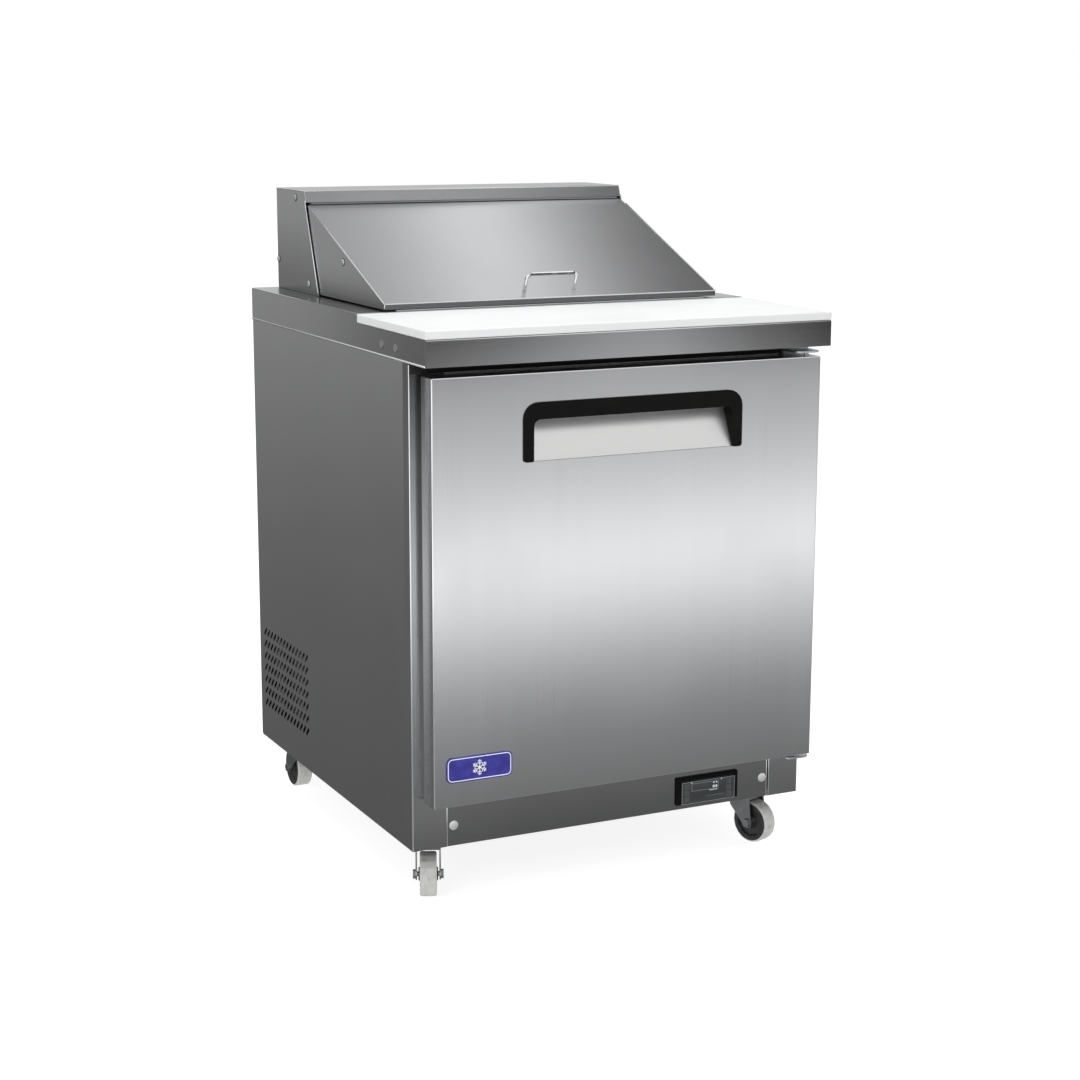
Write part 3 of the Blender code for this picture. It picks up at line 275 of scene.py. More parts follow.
def moulded(name, tone, roughness=0.42, texture=900.0, depth=0.00008, wear=(0.05, 0.05, 0.048), metallic=0.0,
            shine=0.5):
    """Moulded plastic or paint: a fine pebble grain and slight shine differences."""
    part = Finish(name)
    pebble = part.noise(texture, detail=1.5)
    cloud = part.noise(22.0, detail=3.0)
    lighter = tuple(min(1.0, channel + extra) for channel, extra in zip(tone, wear))
    shade = part.spread(cloud, 0.45, 0.8, 0.0, 0.6)
    rough = part.spread(cloud, 0.3, 0.7, roughness - 0.05, roughness + 0.07)
    return part.done(Base_Color=part.mix(shade, tone, lighter), Metallic=metallic, Roughness=rough,
                     Specular_IOR_Level=shine, Normal=part.bump(pebble, depth, 0.35))


def board_finish():
    """White polyethylene: pebbled top with faint knife marks."""
    slab = Finish("board_polyethylene")
    pebble = slab.noise(420.0, detail=2.0)
    cloud = slab.noise(7.0, detail=3.0)
    cuts = [slab.noise(1.0, (9, 420, 9), 1.0, 0.4, (0, 0, turn)) for turn in (0.35, -0.6, 1.3)]
    marks = slab.spread(cuts[0], 0.66, 0.70) + slab.spread(cuts[1], 0.67, 0.71)
    marks = marks + slab.spread(cuts[2], 0.68, 0.72)
    worked = slab.spread(cloud, 0.42, 0.65) * marks
    tone = slab.mix(slab.spread(cloud, 0.3, 0.7, 0.0, 0.35), (0.64, 0.645, 0.65), (0.61, 0.615, 0.61))
    tone = slab.mix(worked * 0.22, tone, (0.60, 0.60, 0.58))
    rough = slab.spread(cloud, 0.3, 0.7, 0.36, 0.50) + worked * 0.08
    return slab.done(Base_Color=tone, Roughness=rough, Subsurface_Weight=0.08,
                     Subsurface_Radius=(0.004, 0.004, 0.004), Subsurface_Scale=1.0,
                     Normal=slab.bump(pebble * 0.5 - worked, 0.00012, 0.4))


def liner_finish(name, tone=(0.80, 0.81, 0.80)):
    """Glossy white sheet, slightly wavy."""
    sheet = Finish(name)
    wave = sheet.noise(14.0, detail=2.0)
    scuff = sheet.noise(120.0, (1, 1, 0.3), 3.0)
    marks = sheet.spread(scuff, 0.62, 0.75)
    darker = tuple(channel * 0.86 for channel in tone)
    return sheet.done(Base_Color=sheet.mix(marks * 0.18, tone, darker),
                      Roughness=sheet.spread(scuff, 0.3, 0.75, 0.22, 0.36),
                      Normal=sheet.bump(wave, 0.0003, 0.15))


def foam_finish():
    """Foamed insulation: open cells in warm yellow."""
    core = Finish("foam_insulation")
    cells = core.node("ShaderNodeTexVoronoi", {}, {"Vector": core.place, "Scale": 700.0}, "Distance")
    cloud = core.noise(9.0, detail=4.0)
    tone = core.mix(core.spread(cloud, 0.3, 0.7), (0.72, 0.60, 0.36), (0.62, 0.47, 0.24))
    return core.done(Base_Color=tone, Roughness=0.9, Normal=core.bump(cells, 0.0008, 0.6))


def gasket_finish():
    """Soft grey vinyl with bellows ribs that run round the door."""
    vinyl = Finish("gasket_vinyl")
    dust = vinyl.noise(45.0, detail=4.0)
    across, up = vinyl.axis("X"), vinyl.axis("Z")
    edge = vinyl.larger(abs(across + 0.001) - 0.303, abs(up - 0.506) - 0.298)
    ribs = edge.math("SINE", edge * (math.tau / 0.006))
    tone = vinyl.mix(vinyl.spread(dust, 0.4, 0.8), (0.30, 0.30, 0.295), (0.42, 0.42, 0.41))
    return vinyl.done(Base_Color=tone, Roughness=vinyl.spread(dust, 0.3, 0.7, 0.5, 0.7),
                      Normal=vinyl.bump(ribs, 0.0008, 0.8))


def fin_finish(name, along):
    """Thin bare fins, close together."""
    stack = Finish(name)
    across = stack.axis(along)
    comb = across.math("SINE", across * (math.tau / 0.0018))
    dust = stack.noise(60.0, detail=4.0)
    tone = stack.mix(stack.spread(comb, -0.6, 0.8), (0.20, 0.20, 0.20), (0.68, 0.68, 0.66))
    tone = stack.mix(stack.spread(dust, 0.5, 0.8) * 0.5, tone, (0.30, 0.29, 0.27))
    return stack.done(Base_Color=tone, Metallic=1.0, Roughness=stack.spread(dust, 0.3, 0.7, 0.30, 0.5),
                      Normal=stack.bump(comb, 0.0004, 0.7))


def wheel_finish(name, centre, axle):
    """Grey tread on a dark moulded wheel, by distance from the axle."""
    wheel = Finish("wheel_" + name)
    out = wheel.vector("SUBTRACT", wheel.place, centre)
    cross = wheel.vector("CROSS_PRODUCT", out, axle)
    away = wheel.node("ShaderNodeVectorMath", {"operation": "LENGTH"}, {0: cross}, "Value")
    dust = wheel.noise(90.0, detail=4.0)
    speck = wheel.spread(dust, 0.45, 0.8)
    core = wheel.mix(speck * 0.6, (0.018, 0.019, 0.021), (0.09, 0.088, 0.082))
    tread = wheel.mix(speck * 0.7, (0.50, 0.50, 0.485), (0.30, 0.29, 0.27))
    rim = wheel.spread(away, 0.0318, 0.0326)
    bush = 1 - wheel.spread(away, 0.0066, 0.0072)
    tone = wheel.mix(rim, core, tread)
    tone = wheel.mix(bush, tone, (0.55, 0.56, 0.57))
    rings = away.math("SINE", away * (math.tau / 0.0022))
    return wheel.done(Base_Color=tone, Metallic=bush,
                      Roughness=wheel.spread(dust, 0.3, 0.7, 0.38, 0.6) - bush * 0.1,
                      Normal=wheel.bump(rings * (1 - rim) * 0.3 + dust * 0.5, 0.0003, 0.5))


def badge_finish():
    """Domed enamel in deep blue with a soft depth to its colour."""
    plate = Finish("badge_enamel")
    cloud = plate.noise(70.0, detail=3.0)
    tone = plate.mix(plate.spread(cloud, 0.3, 0.7), (0.020, 0.018, 0.20), (0.034, 0.030, 0.29))
    return plate.done(Base_Color=tone, Roughness=plate.spread(cloud, 0.3, 0.8, 0.16, 0.26), Coat_Weight=0.6,
                      Coat_Roughness=0.08, Normal=plate.bump(cloud, 0.0003, 0.2))


def window_finish():
    """Smoked window with fine wiping marks."""
    pane = Finish("display_window")
    wiped = pane.noise(40.0, (1, 1, 6), 3.0)
    tone = pane.mix(pane.spread(wiped, 0.4, 0.8), (0.022, 0.028, 0.034), (0.05, 0.06, 0.066))
    return pane.done(Base_Color=tone, Roughness=pane.spread(wiped, 0.3, 0.8, 0.08, 0.22), Coat_Weight=0.5,
                     Coat_Roughness=0.05, Normal=pane.bump(wiped, 0.0002, 0.1))


def lit_marks(name, tone, glow):
    """Printed or lit marks behind the window."""
    mark = Finish(name)
    cloud = mark.noise(500.0, detail=2.0)
    light = mark.mix(mark.spread(cloud, 0.3, 0.8), tone, tuple(channel * 0.7 for channel in tone))
    return mark.done(Base_Color=light, Roughness=0.5, Emission_Color=light, Emission_Strength=glow)


def paint(material, *names):
    """Gives CAD nodes a finish."""
    for name in names:
        mesh = nodes[name].data
        mesh.materials.clear()
        mesh.materials.append(material)


SLOPE = math.atan2(0.37489, 0.92707)   # the lid's flap and handle lean by this

satin_upright = stainless("stainless_upright", "Z")
# Painted shade: the panel, worktop, hood, flap and scoop sheets darken their tone through masks.
satin_panel = stainless("stainless_panel", "Z", dulling_and_painted_shade=panel_painted_shade)
# Painted shade: a darker copy of the steel for the kick panel, recessed under the door.
satin_kick = stainless("stainless_kick", "X", (0.43, 0.434, 0.442))
satin_across = stainless("stainless_across", "X")
satin_worktop = stainless("stainless_worktop", "X", dulling_and_painted_shade=worktop_painted_shade)
satin_hood = stainless("stainless_hood", "Y", dulling_and_painted_shade=hood_painted_shade)
satin_flap = stainless("stainless_flap", "Y", turn=(-SLOPE, 0, 0), dulling_and_painted_shade=lid_painted_shade)
# Painted light: a much lighter copy of the steel for the grip recess, brightening it under the grip's shade.
satin_scoop = stainless("stainless_scoop", "X", (0.93, 0.93, 0.925), 0.42, dulling_and_painted_shade=scoop_painted_shade)
# Painted highlight: a much lighter copy of the steel, so the rolled edges and folds read as bright lines.
satin_hem = stainless("stainless_hem", "Z", (0.93, 0.935, 0.94), 0.30)
# Painted shade: a dark copy of the steel for the hinge leaves by the lid's head.
satin_hinge = stainless("stainless_hinge", "X", (0.20, 0.20, 0.205), 0.30)
satin_pan = stainless("stainless_drawn_pan", "Z", (0.60, 0.605, 0.61), 0.22, smear=0.08)
plated = zinc("zinc_plated")
plated_fork = zinc("zinc_fork", (0.30, 0.31, 0.32), 0.34)
bright = chrome("chrome_wire")
black_moulding = moulded("black_moulding", (0.0032, 0.0033, 0.0030), 0.55, wear=(0.003, 0.003, 0.002),
                         shine=0.08)
# Painted shade: a black material for the strip in the gap above the door, where the frame sits in shade.
black_vinyl = moulded("black_vinyl", (0.010, 0.010, 0.010), 0.6, 300.0, 0.0001, (0.012, 0.012, 0.012),
                      shine=0.2)
black_enamel = moulded("black_enamel", (0.018, 0.018, 0.018), 0.25, 350.0, 0.0001, (0.03, 0.03, 0.03))
dark_shroud = moulded("dark_shroud", (0.16, 0.165, 0.17), 0.4, 500.0, 0.0001, (0.05, 0.05, 0.05), 0.6)
tray_plastic = moulded("tray_plastic", (0.02, 0.02, 0.02), 0.5, 600.0, 0.0001, (0.04, 0.04, 0.038))
white_gloss = liner_finish("liner_white")
white_cover = liner_finish("cover_white", (0.78, 0.79, 0.80))
coated_wire = moulded("coated_wire", (0.78, 0.79, 0.79), 0.32, 300.0, 0.0001, (0.06, 0.06, 0.06))

paint(satin_upright, "back_panel", "front_frame", "door_skin")
paint(satin_panel, "side_panel_left", "side_panel_right")
paint(satin_kick, "kick_panel")
paint(satin_across, "pan_rail")
paint(satin_hinge, "lid_hinge_fixed_leaf", "lid_hinge_moving_leaf")
paint(satin_worktop, "worktop")
paint(satin_scoop, "handle_scoop")
paint(satin_hood, "hood_shell")
paint(satin_flap, "lid_skin")
paint(satin_pan, *(f"food_pan_{number}" for number in range(1, 7)))
paint(plated, "base_pan", "door_hinge_top", "door_hinge_bottom", "shelf_rail_left", "shelf_rail_right",
      *("caster_plate_" + corner for corner in CASTERS))
paint(plated_fork, *("caster_fork_" + corner for corner in CASTERS))
paint(bright, "lid_handle", "lid_hinge_pin")
paint(black_moulding, "controller_bezel", "power_inlet", "handle_trim", "condenser_fan", "evaporator_fan",
      "evaporator_fan_motor")
paint(tray_plastic, "condensate_pan")
paint(black_enamel, "compressor", "condenser_fan_motor")
paint(dark_shroud, "condenser_shroud")
paint(fin_finish("fins_condenser", "Y"), "condenser_coil")
paint(fin_finish("fins_evaporator", "X"), "evaporator_coil")
paint(board_finish(), "cutting_board")
paint(coated_wire, "wire_shelf")
paint(white_gloss, "liner", "door_liner", "lid_liner")
paint(white_cover, "evaporator_cover")
paint(foam_finish(), "foam_core")
paint(gasket_finish(), "door_gasket")
paint(badge_finish(), "door_badge")
paint(window_finish(), "controller_display")
for corner in CASTERS:
    axle = joints["roll_" + corner]
    paint(wheel_finish(corner, axle["pos_m"], axle["axis"]), "caster_wheel_" + corner)


# ---------------------------------------------------------------- modelling by hand

def deselect():
    if bpy.context.mode != "OBJECT":
        bpy.ops.object.mode_set(mode="OBJECT")
    bpy.ops.object.select_all(action="DESELECT")


def begin(name, primitive, **sizes):
    """Adds a primitive and names it; it is left selected and active."""
    deselect()
    getattr(bpy.ops.mesh, f"primitive_{primitive}_add")(**sizes)
    piece = bpy.context.active_object
    piece.name = name
    piece.data.name = name
    return piece


def pick(piece, test, kind="faces"):
    """Selects, in edit mode, the faces or edges that pass a test."""
    bpy.ops.object.mode_set(mode="EDIT")
    bpy.ops.mesh.select_mode(type="FACE" if kind == "faces" else "EDGE")
    bpy.ops.mesh.select_all(action="DESELECT")
    shell = bmesh.from_edit_mesh(piece.data)
    for item in getattr(shell, kind):
        if test(item):
            item.select_set(True)
    bmesh.update_edit_mesh(piece.data)


def leave_edit():
    bpy.ops.object.mode_set(mode="OBJECT")


def apply_modifier(piece, kind, **settings):
    modifier = piece.modifiers.new(kind.title(), kind)
    for name, value in settings.items():
        setattr(modifier, name, value)
    bpy.ops.object.modifier_apply(modifier=modifier.name)


def settle(piece, material, body, smooth=40):
    """Puts the place into the mesh, shades it, and lets the piece ride on its body."""
    deselect()
    piece.select_set(True)
    bpy.context.view_layer.objects.active = piece
    bpy.ops.object.transform_apply(location=True, rotation=True, scale=True)
    bpy.ops.object.shade_smooth_by_angle(angle=math.radians(smooth))
    piece.data.materials.clear()
    piece.data.materials.append(material)
    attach(piece, body)
    return piece


def copy_to(master, name, place):
    """A copy with its own mesh, set by a matrix."""
    copy = bpy.data.objects.new(name, master.data.copy())
    copy.data.name = name
    bpy.context.scene.collection.objects.link(copy)
    copy.matrix_world = place
    return copy


def facing(centre, normal, turn=0.0):
    """A place whose +Z points along normal."""
    return (Matrix.Translation(centre) @ Vector(normal).to_track_quat("Z", "Y").to_matrix().to_4x4()
            @ Matrix.Rotation(turn, 4, "Z"))


def drop(piece):
    bpy.data.objects.remove(piece)


# ---------------------------------------------------------------- fasteners

SCREW_RADIUS = 0.0054
SHADOW_RING_RADIUS = 0.0068
BOLT_RADIUS = 0.0074


def disc(name, sides, radius, height):
    """A flat cylinder with its foot at z = 0."""
    return begin(name, "cylinder", vertices=sides, radius=radius, depth=height, location=(0, 0, height / 2))


def domed_screw():
    """Pan-head machine screw with a cross recess, its foot at z = 0."""
    head = disc("screw_master", 24, SCREW_RADIUS, 0.0014)
    for shrink, rise in ((0.0009, 0.0008), (0.0014, 0.0007), (0.0015, 0.0003)):
        pick(head, lambda face: face.normal.z > 0.9 and len(face.verts) > 4)
        bpy.ops.mesh.inset(thickness=shrink)
        bpy.ops.transform.translate(value=(0, 0, rise))
    leave_edit()
    for angle in (0, math.pi / 2):
        slot = begin("recess", "cube", size=1, location=(0, 0, 0.0038), rotation=(0, 0, angle))
        slot.scale = (0.0048, 0.0010, 0.0028)
        deselect()
        head.select_set(True)
        bpy.context.view_layer.objects.active = head
        apply_modifier(head, "BOOLEAN", operation="DIFFERENCE", object=slot, solver="EXACT")
        drop(slot)
    return head


def rivet_bolt():
    """Flat round bolt head with a chamfered rim."""
    head = disc("bolt_master", 32, BOLT_RADIUS, 0.0010)
    pick(head, lambda face: face.normal.z > 0.9)
    bpy.ops.mesh.inset(thickness=0.0009)
    bpy.ops.transform.translate(value=(0, 0, 0.0004))
    leave_edit()
    return head


def screw_shadow_ring():
    """Painted shadow: a thin dark ring under a screw head, round its edge."""
    ring = disc("washer_master", 32, SHADOW_RING_RADIUS, 0.0005)
    pick(ring, lambda face: face.normal.z > 0.9)
    bpy.ops.mesh.inset(thickness=0.0004)
    bpy.ops.transform.translate(value=(0, 0, 0.0003))
    leave_edit()
    return ring


LEFT, RIGHT, FRONT = (-1, 0, 0), (1, 0, 0), (0, -1, 0)
HOOD_SIDE, LID_SIDE = 0.302, 0.2995
HOOD_SCREWS = ((0.282, 1.067), (0.2235, 0.925), (0.3735, 0.957))
LID_SCREW = (0.067, 0.972)
KICK_BOLT = (0.280, -0.323, 0.1285)
screw_plated = zinc("zinc_screw", (0.80, 0.81, 0.82), 0.30)
bolt_plated = zinc("zinc_bolt", (0.95, 0.96, 0.97), 0.55)
# Painted shadow: a dark ring round each screw head.
washer_dark = moulded("washer_dark", (0.045, 0.047, 0.048), 0.4, 500.0, 0.00005, (0.02, 0.02, 0.02), 0.5)
screw = domed_screw()
shadow_ring = screw_shadow_ring()
bolt = rivet_bolt()
for mirror, way, side in ((-1, LEFT, "left"), (1, RIGHT, "right")):
    for number, (y, z) in enumerate(HOOD_SCREWS, 1):
        place = facing((mirror * HOOD_SIDE, y, z), way, 0.5 * number)
        settle(copy_to(screw, f"hood_screw_{side}_{number}", place), screw_plated, "cabinet")
        settle(copy_to(shadow_ring, f"hood_washer_{side}_{number}", place), washer_dark, "cabinet")
    place = facing((mirror * LID_SIDE, *LID_SCREW), way, 0.8)
    settle(copy_to(screw, f"lid_screw_{side}", place), screw_plated, "lid")
    settle(copy_to(shadow_ring, f"lid_washer_{side}", place), washer_dark, "lid")
    settle(copy_to(bolt, f"kick_bolt_{side}", facing((mirror * KICK_BOLT[0], *KICK_BOLT[1:]), FRONT)),
           bolt_plated, "cabinet")
for master in (screw, shadow_ring, bolt):
    drop(master)


# ---------------------------------------------------------------- hems and strips

def bead(name, start, end, radius, body="cabinet"):
    """A rolled edge: a thin round bead with softened ends between two points."""
    start, end = Vector(start), Vector(end)
    rod = begin(name, "cylinder", vertices=12, radius=radius, depth=(end - start).length)
    pick(rod, lambda edge: len({round(vert.co.z, 6) for vert in edge.verts}) == 1, "edges")
    bpy.ops.mesh.bevel(offset=radius * 0.4, segments=1, affect="EDGES")
    leave_edit()
    rod.matrix_world = facing((start + end) / 2, end - start)
    # Painted highlight: each bead takes the lighter hem copy of the steel.
    return settle(rod, satin_hem, body, 60)


def strip(name, low, high, rounding, material, body="cabinet"):
    """A flat strip or plate with rounded edges between two corners."""
    low, high = Vector(low), Vector(high)
    bar = begin(name, "cube", size=1, location=(low + high) / 2)
    bar.scale = high - low
    bpy.ops.object.transform_apply(location=True, rotation=True, scale=True)
    pick(bar, lambda edge: True, "edges")
    bpy.ops.mesh.bevel(offset=rounding, segments=2, affect="EDGES")
    leave_edit()
    return settle(bar, material, body)


for mirror, side in ((-1, "left"), (1, "right")):
    x = mirror * (HOOD_SIDE + 0.0001)
    bead(f"hood_edge_{side}", (x, 0.2365, 1.0632), (x, 0.1792, 0.9115), 0.0009)
    bead(f"hood_top_{side}", (x, 0.2440, 1.0793), (x, 0.3790, 1.0793), 0.0007)
    x = mirror * 0.2993
    bead(f"lid_fold_{side}", (x, 0.2100, 1.0488), (x, -0.1085, 0.9190), 0.0012, "lid")
    bead(f"lip_end_{side}", (x, -0.1098, 0.9185), (x, -0.1098, 0.9108), 0.0006, "lid")
    x = mirror * 0.3486
    bead(f"worktop_edge_{side}", (x, -0.3860, 0.8533), (x, 0.3860, 0.8533), 0.0017)
door_low, door_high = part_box("door_skin")
x, y = door_low.x + 0.0008, door_low.y + 0.0008
bead("door_fold_left", (x, y, door_low.z + 0.001), (x, y, door_high.z - 0.001), 0.0010, "door")
bead("panel_fold_left", (-0.3482, -0.3222, 0.096), (-0.3482, -0.3222, 0.850), 0.0010)
bead("hood_top_front", (-0.3010, 0.2425, 1.0792), (0.3010, 0.2425, 1.0792), 0.0007)
bead("lip_top", (-0.2980, -0.1096, 0.9189), (0.2980, -0.1096, 0.9189), 0.0005, "lid")
for place, x in (("left", -0.2912), ("right", 0.2886), ("return", 0.2928)):
    bead(f"kick_edge_{place}", (x, -0.3231, 0.0965), (x, -0.3231, 0.1745), 0.0006)
# Painted shade: a black strip fills the gap above the door, standing in for the shade there.
strip("head_strip", (-0.3465, -0.3262, 0.8362), (0.296, -0.3231, 0.8512), 0.0004, black_vinyl)


# ---------------------------------------------------------------- controller face

lens_grey = moulded("lens_grey", (0.040, 0.044, 0.046), 0.20, 500.0, 0.00004, (0.02, 0.02, 0.02))
lens_edge = moulded("lens_edge", (0.24, 0.25, 0.25), 0.30, 500.0, 0.00004, (0.05, 0.05, 0.05))
key_grey = moulded("key_grey", (0.060, 0.062, 0.064), 0.35, 400.0, 0.00006, (0.02, 0.02, 0.02))
# The pale marks glow as a lit readout; the same material makes the painted highlights on the lens.
mark_pale = lit_marks("mark_pale", (0.62, 0.66, 0.64), 0.15)
mark_teal = lit_marks("mark_teal", (0.05, 0.12, 0.11), 0.05)
BEZEL_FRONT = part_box("controller_bezel")[0].y


def flat_ring(name, low, high, width, height, material):
    """A thin raised outline round a rectangle on the controller's face, as (x, z) corners."""
    ring = begin(name, "plane", size=1)
    ring.scale = (high[0] - low[0], high[1] - low[1], 1)
    bpy.ops.object.transform_apply(location=True, rotation=True, scale=True)
    pick(ring, lambda face: True)
    bpy.ops.mesh.inset(thickness=width)
    bpy.ops.mesh.delete(type="FACE")
    bpy.ops.mesh.select_all(action="SELECT")
    bpy.ops.mesh.extrude_region_move(TRANSFORM_OT_translate={"value": (0, 0, height)})
    bpy.ops.mesh.select_all(action="SELECT")
    bpy.ops.mesh.normals_make_consistent(inside=False)
    leave_edit()
    ring.matrix_world = facing(((low[0] + high[0]) / 2, BEZEL_FRONT, (low[1] + high[1]) / 2), FRONT)
    return settle(ring, material, "cabinet")


def face_plate(name, left, low, right, high, height, material, rounding=0.0003):
    front, back = BEZEL_FRONT - height, BEZEL_FRONT - 0.00005
    return strip(name, (left, front, low), (right, back, high), rounding, material)


flat_ring("lens_outline", (0.1248, 0.1040), (0.2242, 0.1410), 0.0007, 0.0009, lens_edge)
face_plate("lens_plate", 0.1258, 0.1050, 0.2232, 0.1400, 0.0004, lens_grey)
for side, left in (("left", 0.1290), ("right", 0.2085)):
    for row in range(3):
        low = 0.1075 + row * 0.0105
        face_plate(f"key_{side}_{row + 1}", left, low, left + 0.0095, low + 0.0090, 0.0008, key_grey,
                   0.00035)
flat_ring("readout_outline", (0.1430, 0.1245), (0.1935, 0.1375), 0.0006, 0.0008, lens_edge)
for column, (left, right) in enumerate(((0.1835, 0.1862), (0.1885, 0.1912)), 1):
    face_plate(f"mark_upper_{column}", left, 0.1337, right, 0.1360, 0.0007, mark_pale, 0.0001)
    face_plate(f"mark_lower_{column}", left - 0.0006, 0.1262, right, 0.1305, 0.0007, mark_pale, 0.0001)
face_plate("mark_bar", 0.1760, 0.1222, 0.1915, 0.1233, 0.0007, mark_pale, 0.0001)
face_plate("mark_band", 0.1700, 0.1128, 0.2050, 0.1142, 0.0007, mark_teal, 0.0001)
# Painted highlights: two small pale dots near the top corners of the lens, made to glow.
for side, x in (("left", 0.1425), ("right", 0.1990)):
    glint = begin("lens_dot_" + side, "cylinder", vertices=16, radius=0.0010, depth=0.0008)
    glint.matrix_world = facing((x, BEZEL_FRONT - 0.0006, 0.1394), FRONT)
    settle(glint, mark_pale, "cabinet")


# ---------------------------------------------------------------- badge emblem

def snowflake(radius, thickness):
    """Six barbed arms round a small hexagon, flat on z = 0."""
    arms = []
    hub = begin("badge_emblem", "cylinder", vertices=6, radius=radius * 0.16, depth=thickness,
                location=(0, 0, thickness / 2))
    for step in range(6):
        turn = Matrix.Rotation(step * math.pi / 3, 4, "Z")
        bars = [((radius * 0.55, 0), 0.0, radius * 0.92)]
        for reach, length in ((0.45, 0.34), (0.72, 0.26)):
            for lean in (1, -1):
                angle = lean * math.pi / 3.2
                middle = Vector((radius * reach + math.cos(angle) * radius * length / 2,
                                 math.sin(angle) * radius * length / 2))
                bars.append((tuple(middle), angle, radius * length))
        for middle, angle, length in bars:
            bar = begin("arm", "cube", size=1, location=(*middle, thickness / 2), rotation=(0, 0, angle))
            bar.scale = (length, radius * 0.11, thickness * 0.96)
            bpy.ops.object.transform_apply(location=True, rotation=True, scale=True)
            bar.data.transform(turn)
            arms.append(bar)
    deselect()
    for piece in [hub, *arms]:
        piece.select_set(True)
    bpy.context.view_layer.objects.active = hub
    bpy.ops.object.join()
    return hub


def badge_rim():
    """Raised white border just inside the badge's edge."""
    low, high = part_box("door_badge")
    size = high - low
    rim = begin("badge_rim", "plane", size=1)
    rim.scale = (size.x - 0.004, size.z - 0.004, 1)
    bpy.ops.object.transform_apply(location=True, rotation=True, scale=True)
    bpy.ops.object.mode_set(mode="EDIT")
    bpy.ops.mesh.select_all(action="SELECT")
    bpy.ops.mesh.bevel(offset=0.0075, segments=6, affect="VERTICES")
    bpy.ops.mesh.select_all(action="SELECT")
    bpy.ops.mesh.inset(thickness=0.0012)
    bpy.ops.mesh.delete(type="FACE")
    bpy.ops.mesh.select_all(action="SELECT")
    bpy.ops.mesh.extrude_region_move(TRANSFORM_OT_translate={"value": (0, 0, 0.0005)})
    bpy.ops.mesh.select_all(action="SELECT")
    bpy.ops.mesh.normals_make_consistent(inside=False)
    leave_edit()
    return rim


badge_low, badge_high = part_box("door_badge")
badge_middle = Vector(((badge_low.x + badge_high.x) / 2, badge_low.y, (badge_low.z + badge_high.z) / 2))
badge_white = moulded("badge_white", (0.80, 0.80, 0.80), 0.3, 600.0, 0.00005, (0.05, 0.05, 0.05))
flake = snowflake(0.0125, 0.0007)
flake.matrix_world = facing(badge_middle + Vector((0, 0.0002, 0)), FRONT, math.pi / 6)
settle(flake, badge_white, "door")
rim = badge_rim()
rim.matrix_world = facing(badge_middle + Vector((0, 0.0001, 0)), FRONT)
settle(rim, badge_white, "door")


# ---------------------------------------------------------------- light, floor and camera

CAMERA_PLACE = Vector((-1.5817, -3.280, 1.2446))


def glow_card(name, corners, level):
    """A flat studio card that shows only in reflections; level works out its brightness."""
    mesh = bpy.data.meshes.new(name)
    mesh.from_pydata(corners, [], [(0, 1, 2, 3)])
    card = bpy.data.objects.new(name, mesh)
    bpy.context.scene.collection.objects.link(card)
    look = Finish(name + "_glow")
    strength = level(look)
    glow = look.node("ShaderNodeEmission", {}, {"Color": (1, 1, 1, 1), "Strength": strength}, "Emission")
    clear = look.node("ShaderNodeBsdfTransparent", {}, {}, "BSDF")
    facing_in = look.node("ShaderNodeNewGeometry", {}, {}, "Backfacing")
    both = look.node("ShaderNodeMixShader", {}, {0: facing_in, 1: glow, 2: clear}, "Shader")
    look.node("ShaderNodeOutputMaterial", {}, {"Surface": both})
    mesh.materials.append(look.material)
    card.visible_camera = False
    card.visible_diffuse = False
    card.visible_shadow = False
    card.visible_transmission = False
    return card


def front_level(look):
    """Brightness over height for the door, then over width for the worktop's skirt."""
    across, up = look.axis("X"), look.axis("Z")
    door = look.graph(up, [
        (-0.60, 0.05), (-0.30, 0.09), (-0.235, 0.11), (-0.185, 0.21), (-0.146, 0.30), (-0.107, 0.295),
        (-0.054, 0.255), (0.0, 0.31), (0.051, 0.43), (0.104, 0.63), (0.157, 0.89), (0.21, 1.18),
        (0.2625, 1.47), (0.315, 1.72), (0.368, 1.50), (0.421, 1.23), (0.4735, 1.00), (0.526, 0.86),
        (0.579, 0.74), (0.632, 0.66), (0.685, 0.72)])
    skirt = look.graph(across, [
        (-0.9, 0.01), (0.055, 0.01), (0.174, 0.06), (0.306, 0.24), (0.438, 0.50), (0.57, 0.50),
        (0.70, 0.14), (0.83, 0.01), (2.0, 0.0)])
    above = look.spread(up, 0.71, 0.735)
    return door * (1 - above) + skirt * (1 - look.spread(up, 0.80, 0.86)) * above + 0.03


def lid_level(look):
    """Bright middle for the lid's flap, falling off to both sides."""
    return look.graph(look.axis("X"), [
        (-0.4, 0.40), (0.178, 0.56), (0.246, 0.63), (0.328, 0.77), (0.41, 1.02), (0.49, 1.16), (0.573, 1.12),
        (0.655, 0.86), (0.736, 0.61), (0.818, 0.40), (0.90, 0.27), (0.968, 0.18), (1.5, 0.12)])


def band_level(look):
    """For the hood's narrow band."""
    return look.graph(look.axis("X"), [
        (-0.4, 0.30), (0.214, 0.38), (0.463, 0.50), (0.739, 0.42), (0.987, 0.10), (1.5, 0.05)])


def scoop_level(look):
    """For the grip recess in the upper part of the door."""
    return look.graph(look.axis("Z"), [(0.95, 0.9), (1.5, 1.5), (2.1, 1.2)])


def side_level(look):
    """Catches the upright folds at the front left."""
    return look.graph(look.axis("Z"), [(-0.5, 0.9), (0.2, 1.9), (1.0, 1.9), (1.8, 1.6)])


def upright_card(name, y, left, right, low, high, level):
    glow_card(name, [(right, y, low), (left, y, low), (left, y, high), (right, y, high)], level)


def ceiling_card(name, z, left, right, near, far, level):
    glow_card(name, [(left, near, z), (left, far, z), (right, far, z), (right, near, z)], level)


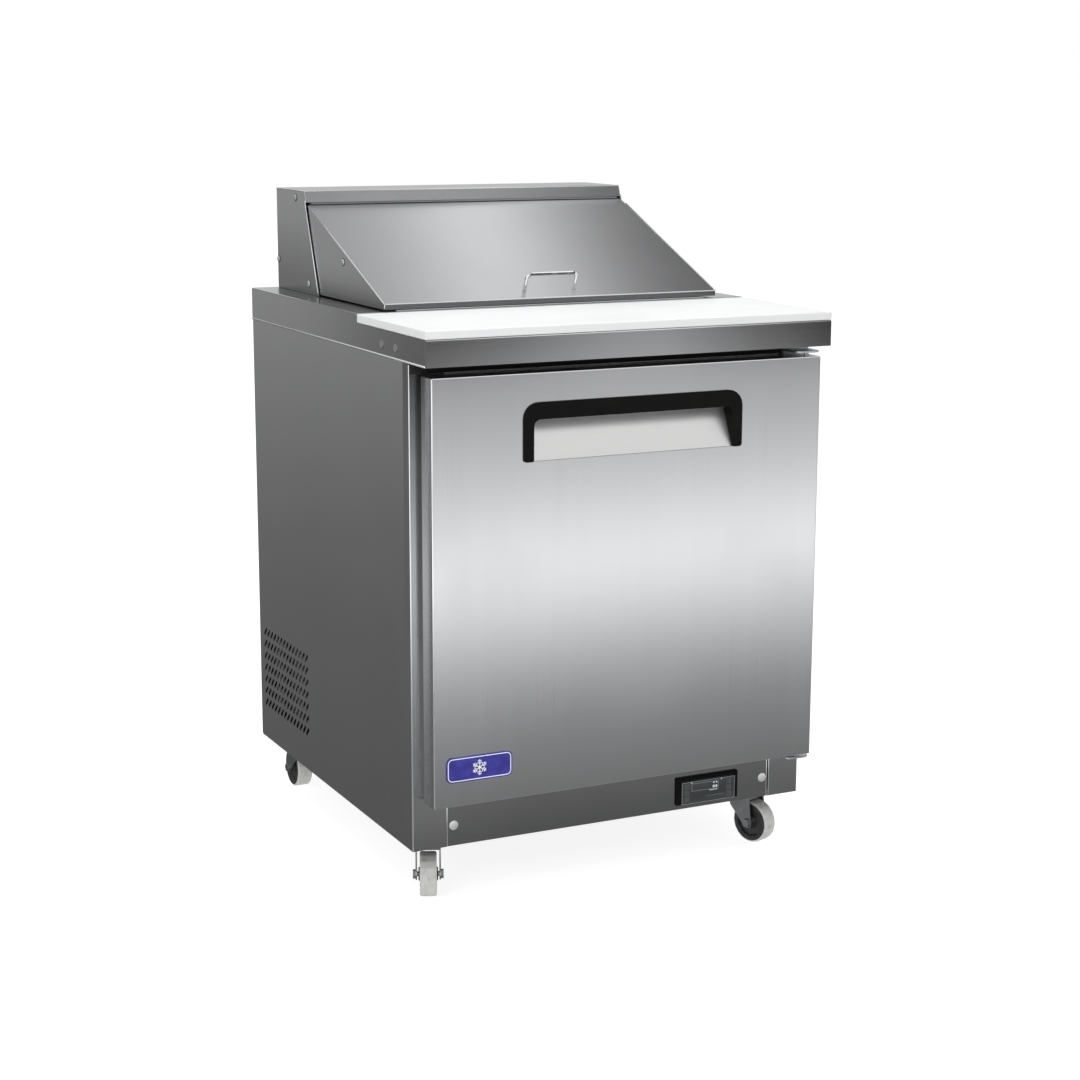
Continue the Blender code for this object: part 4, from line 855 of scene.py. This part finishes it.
CARD_FRONT = -1.3
CARD_TOP = 1.9
CARD_LEFT = -1.6
upright_card("front_card", CARD_FRONT, -0.9, 2.0, -0.6, 0.9, front_level)
upright_card("scoop_card", CARD_FRONT, -0.4, 2.0, 0.95, 2.1, scoop_level)
ceiling_card("band_card", CARD_TOP, -0.4, 1.5, -1.25, -0.42, band_level)
ceiling_card("lid_card", CARD_TOP, -0.4, 1.5, -0.4, 1.6, lid_level)
side_corners = ((-0.1, -0.5), (-0.1, 1.8), (-2.3, 1.8), (-2.3, -0.5))
glow_card("side_card", [(CARD_LEFT, y, z) for y, z in side_corners], side_level)

world = bpy.data.worlds.new("studio")
bpy.context.scene.world = world
world.use_nodes = True
sky = Finish("studio", world.node_tree)
way = sky.node("ShaderNodeTexCoord", {}, {}, "Generated")
height = sky.axis("Z", way)
rise = sky.ramp(height * 0.5 + 0.5, [
    (0.0, 0.08), (0.33, 0.125), (0.40, 0.175), (0.44, 0.30), (0.462, 0.40), (0.52, 0.58), (0.62, 0.80),
    (0.80, 0.75), (1.0, 0.85)])
leftward = 1 - sky.spread(sky.axis("X", way), -0.25, 0.10)
level_band = sky.spread(height, -0.06, 0.05) * (1 - sky.spread(height, 0.2, 0.4))
rise = sky.mix(leftward * level_band, rise, (0.24, 0.24, 0.24))
rightward = sky.spread(sky.axis("X", way), 0.0, 0.25)
beside = sky.larger(rightward, 1 - sky.spread(sky.axis("Y", way), 0.45, 0.75))
rise = sky.mix(beside * (1 - sky.spread(height, -0.05, 0.15)), rise, (0.38, 0.38, 0.38))
seen = sky.node("ShaderNodeLightPath", {}, {}, "Is Camera Ray")
soft = sky.node("ShaderNodeBackground", {}, {"Color": rise, "Strength": 1.0}, "Background")
white = sky.node("ShaderNodeBackground", {}, {"Color": (1, 1, 1, 1), "Strength": 1.0}, "Background")
both = sky.node("ShaderNodeMixShader", {}, {0: seen, 1: soft, 2: white}, "Shader")
sky.node("ShaderNodeOutputWorld", {}, {"Surface": both})


def softbox(name, place, target, size, power):
    light = bpy.data.lights.new(name, "AREA")
    light.shape = "RECTANGLE"
    light.size, light.size_y = size
    light.energy = power
    lamp = bpy.data.objects.new(name, light)
    bpy.context.scene.collection.objects.link(lamp)
    lamp.matrix_world = facing(place, Vector(place) - Vector(target))
    lamp.visible_camera = False
    lamp.visible_glossy = False
    return lamp


softbox("overhead", (-0.2, -0.6, 3.2), (0, 0, 0.6), (2.6, 2.6), 66.0)
softbox("left_fill", (-2.6, -2.2, 1.8), (0, 0, 0.5), (1.6, 1.6), 24.0)

floor = begin("floor", "plane", size=30)
pale = Finish("floor_pale")
cloud = pale.noise(0.8, detail=3.0)
pale_tone = pale.mix(cloud, (0.36, 0.36, 0.36), (0.40, 0.40, 0.40))
floor.data.materials.append(pale.done(Base_Color=pale_tone, Roughness=0.9, Emission_Color=(1, 1, 1, 1),
                                      Emission_Strength=0.82))
floor.visible_glossy = False

lens = bpy.data.cameras.new("camera")
lens.lens = 72.68
lens.sensor_width = 36
lens.clip_end = 60
camera = bpy.data.objects.new("camera", lens)
camera.location = CAMERA_PLACE
camera.rotation_euler = (1.3681, -0.0028, -0.4552)
bpy.context.scene.collection.objects.link(camera)
bpy.context.scene.camera = camera
bpy.context.scene.view_settings.view_transform = "Standard"
bpy.context.scene.view_settings.look = "None"
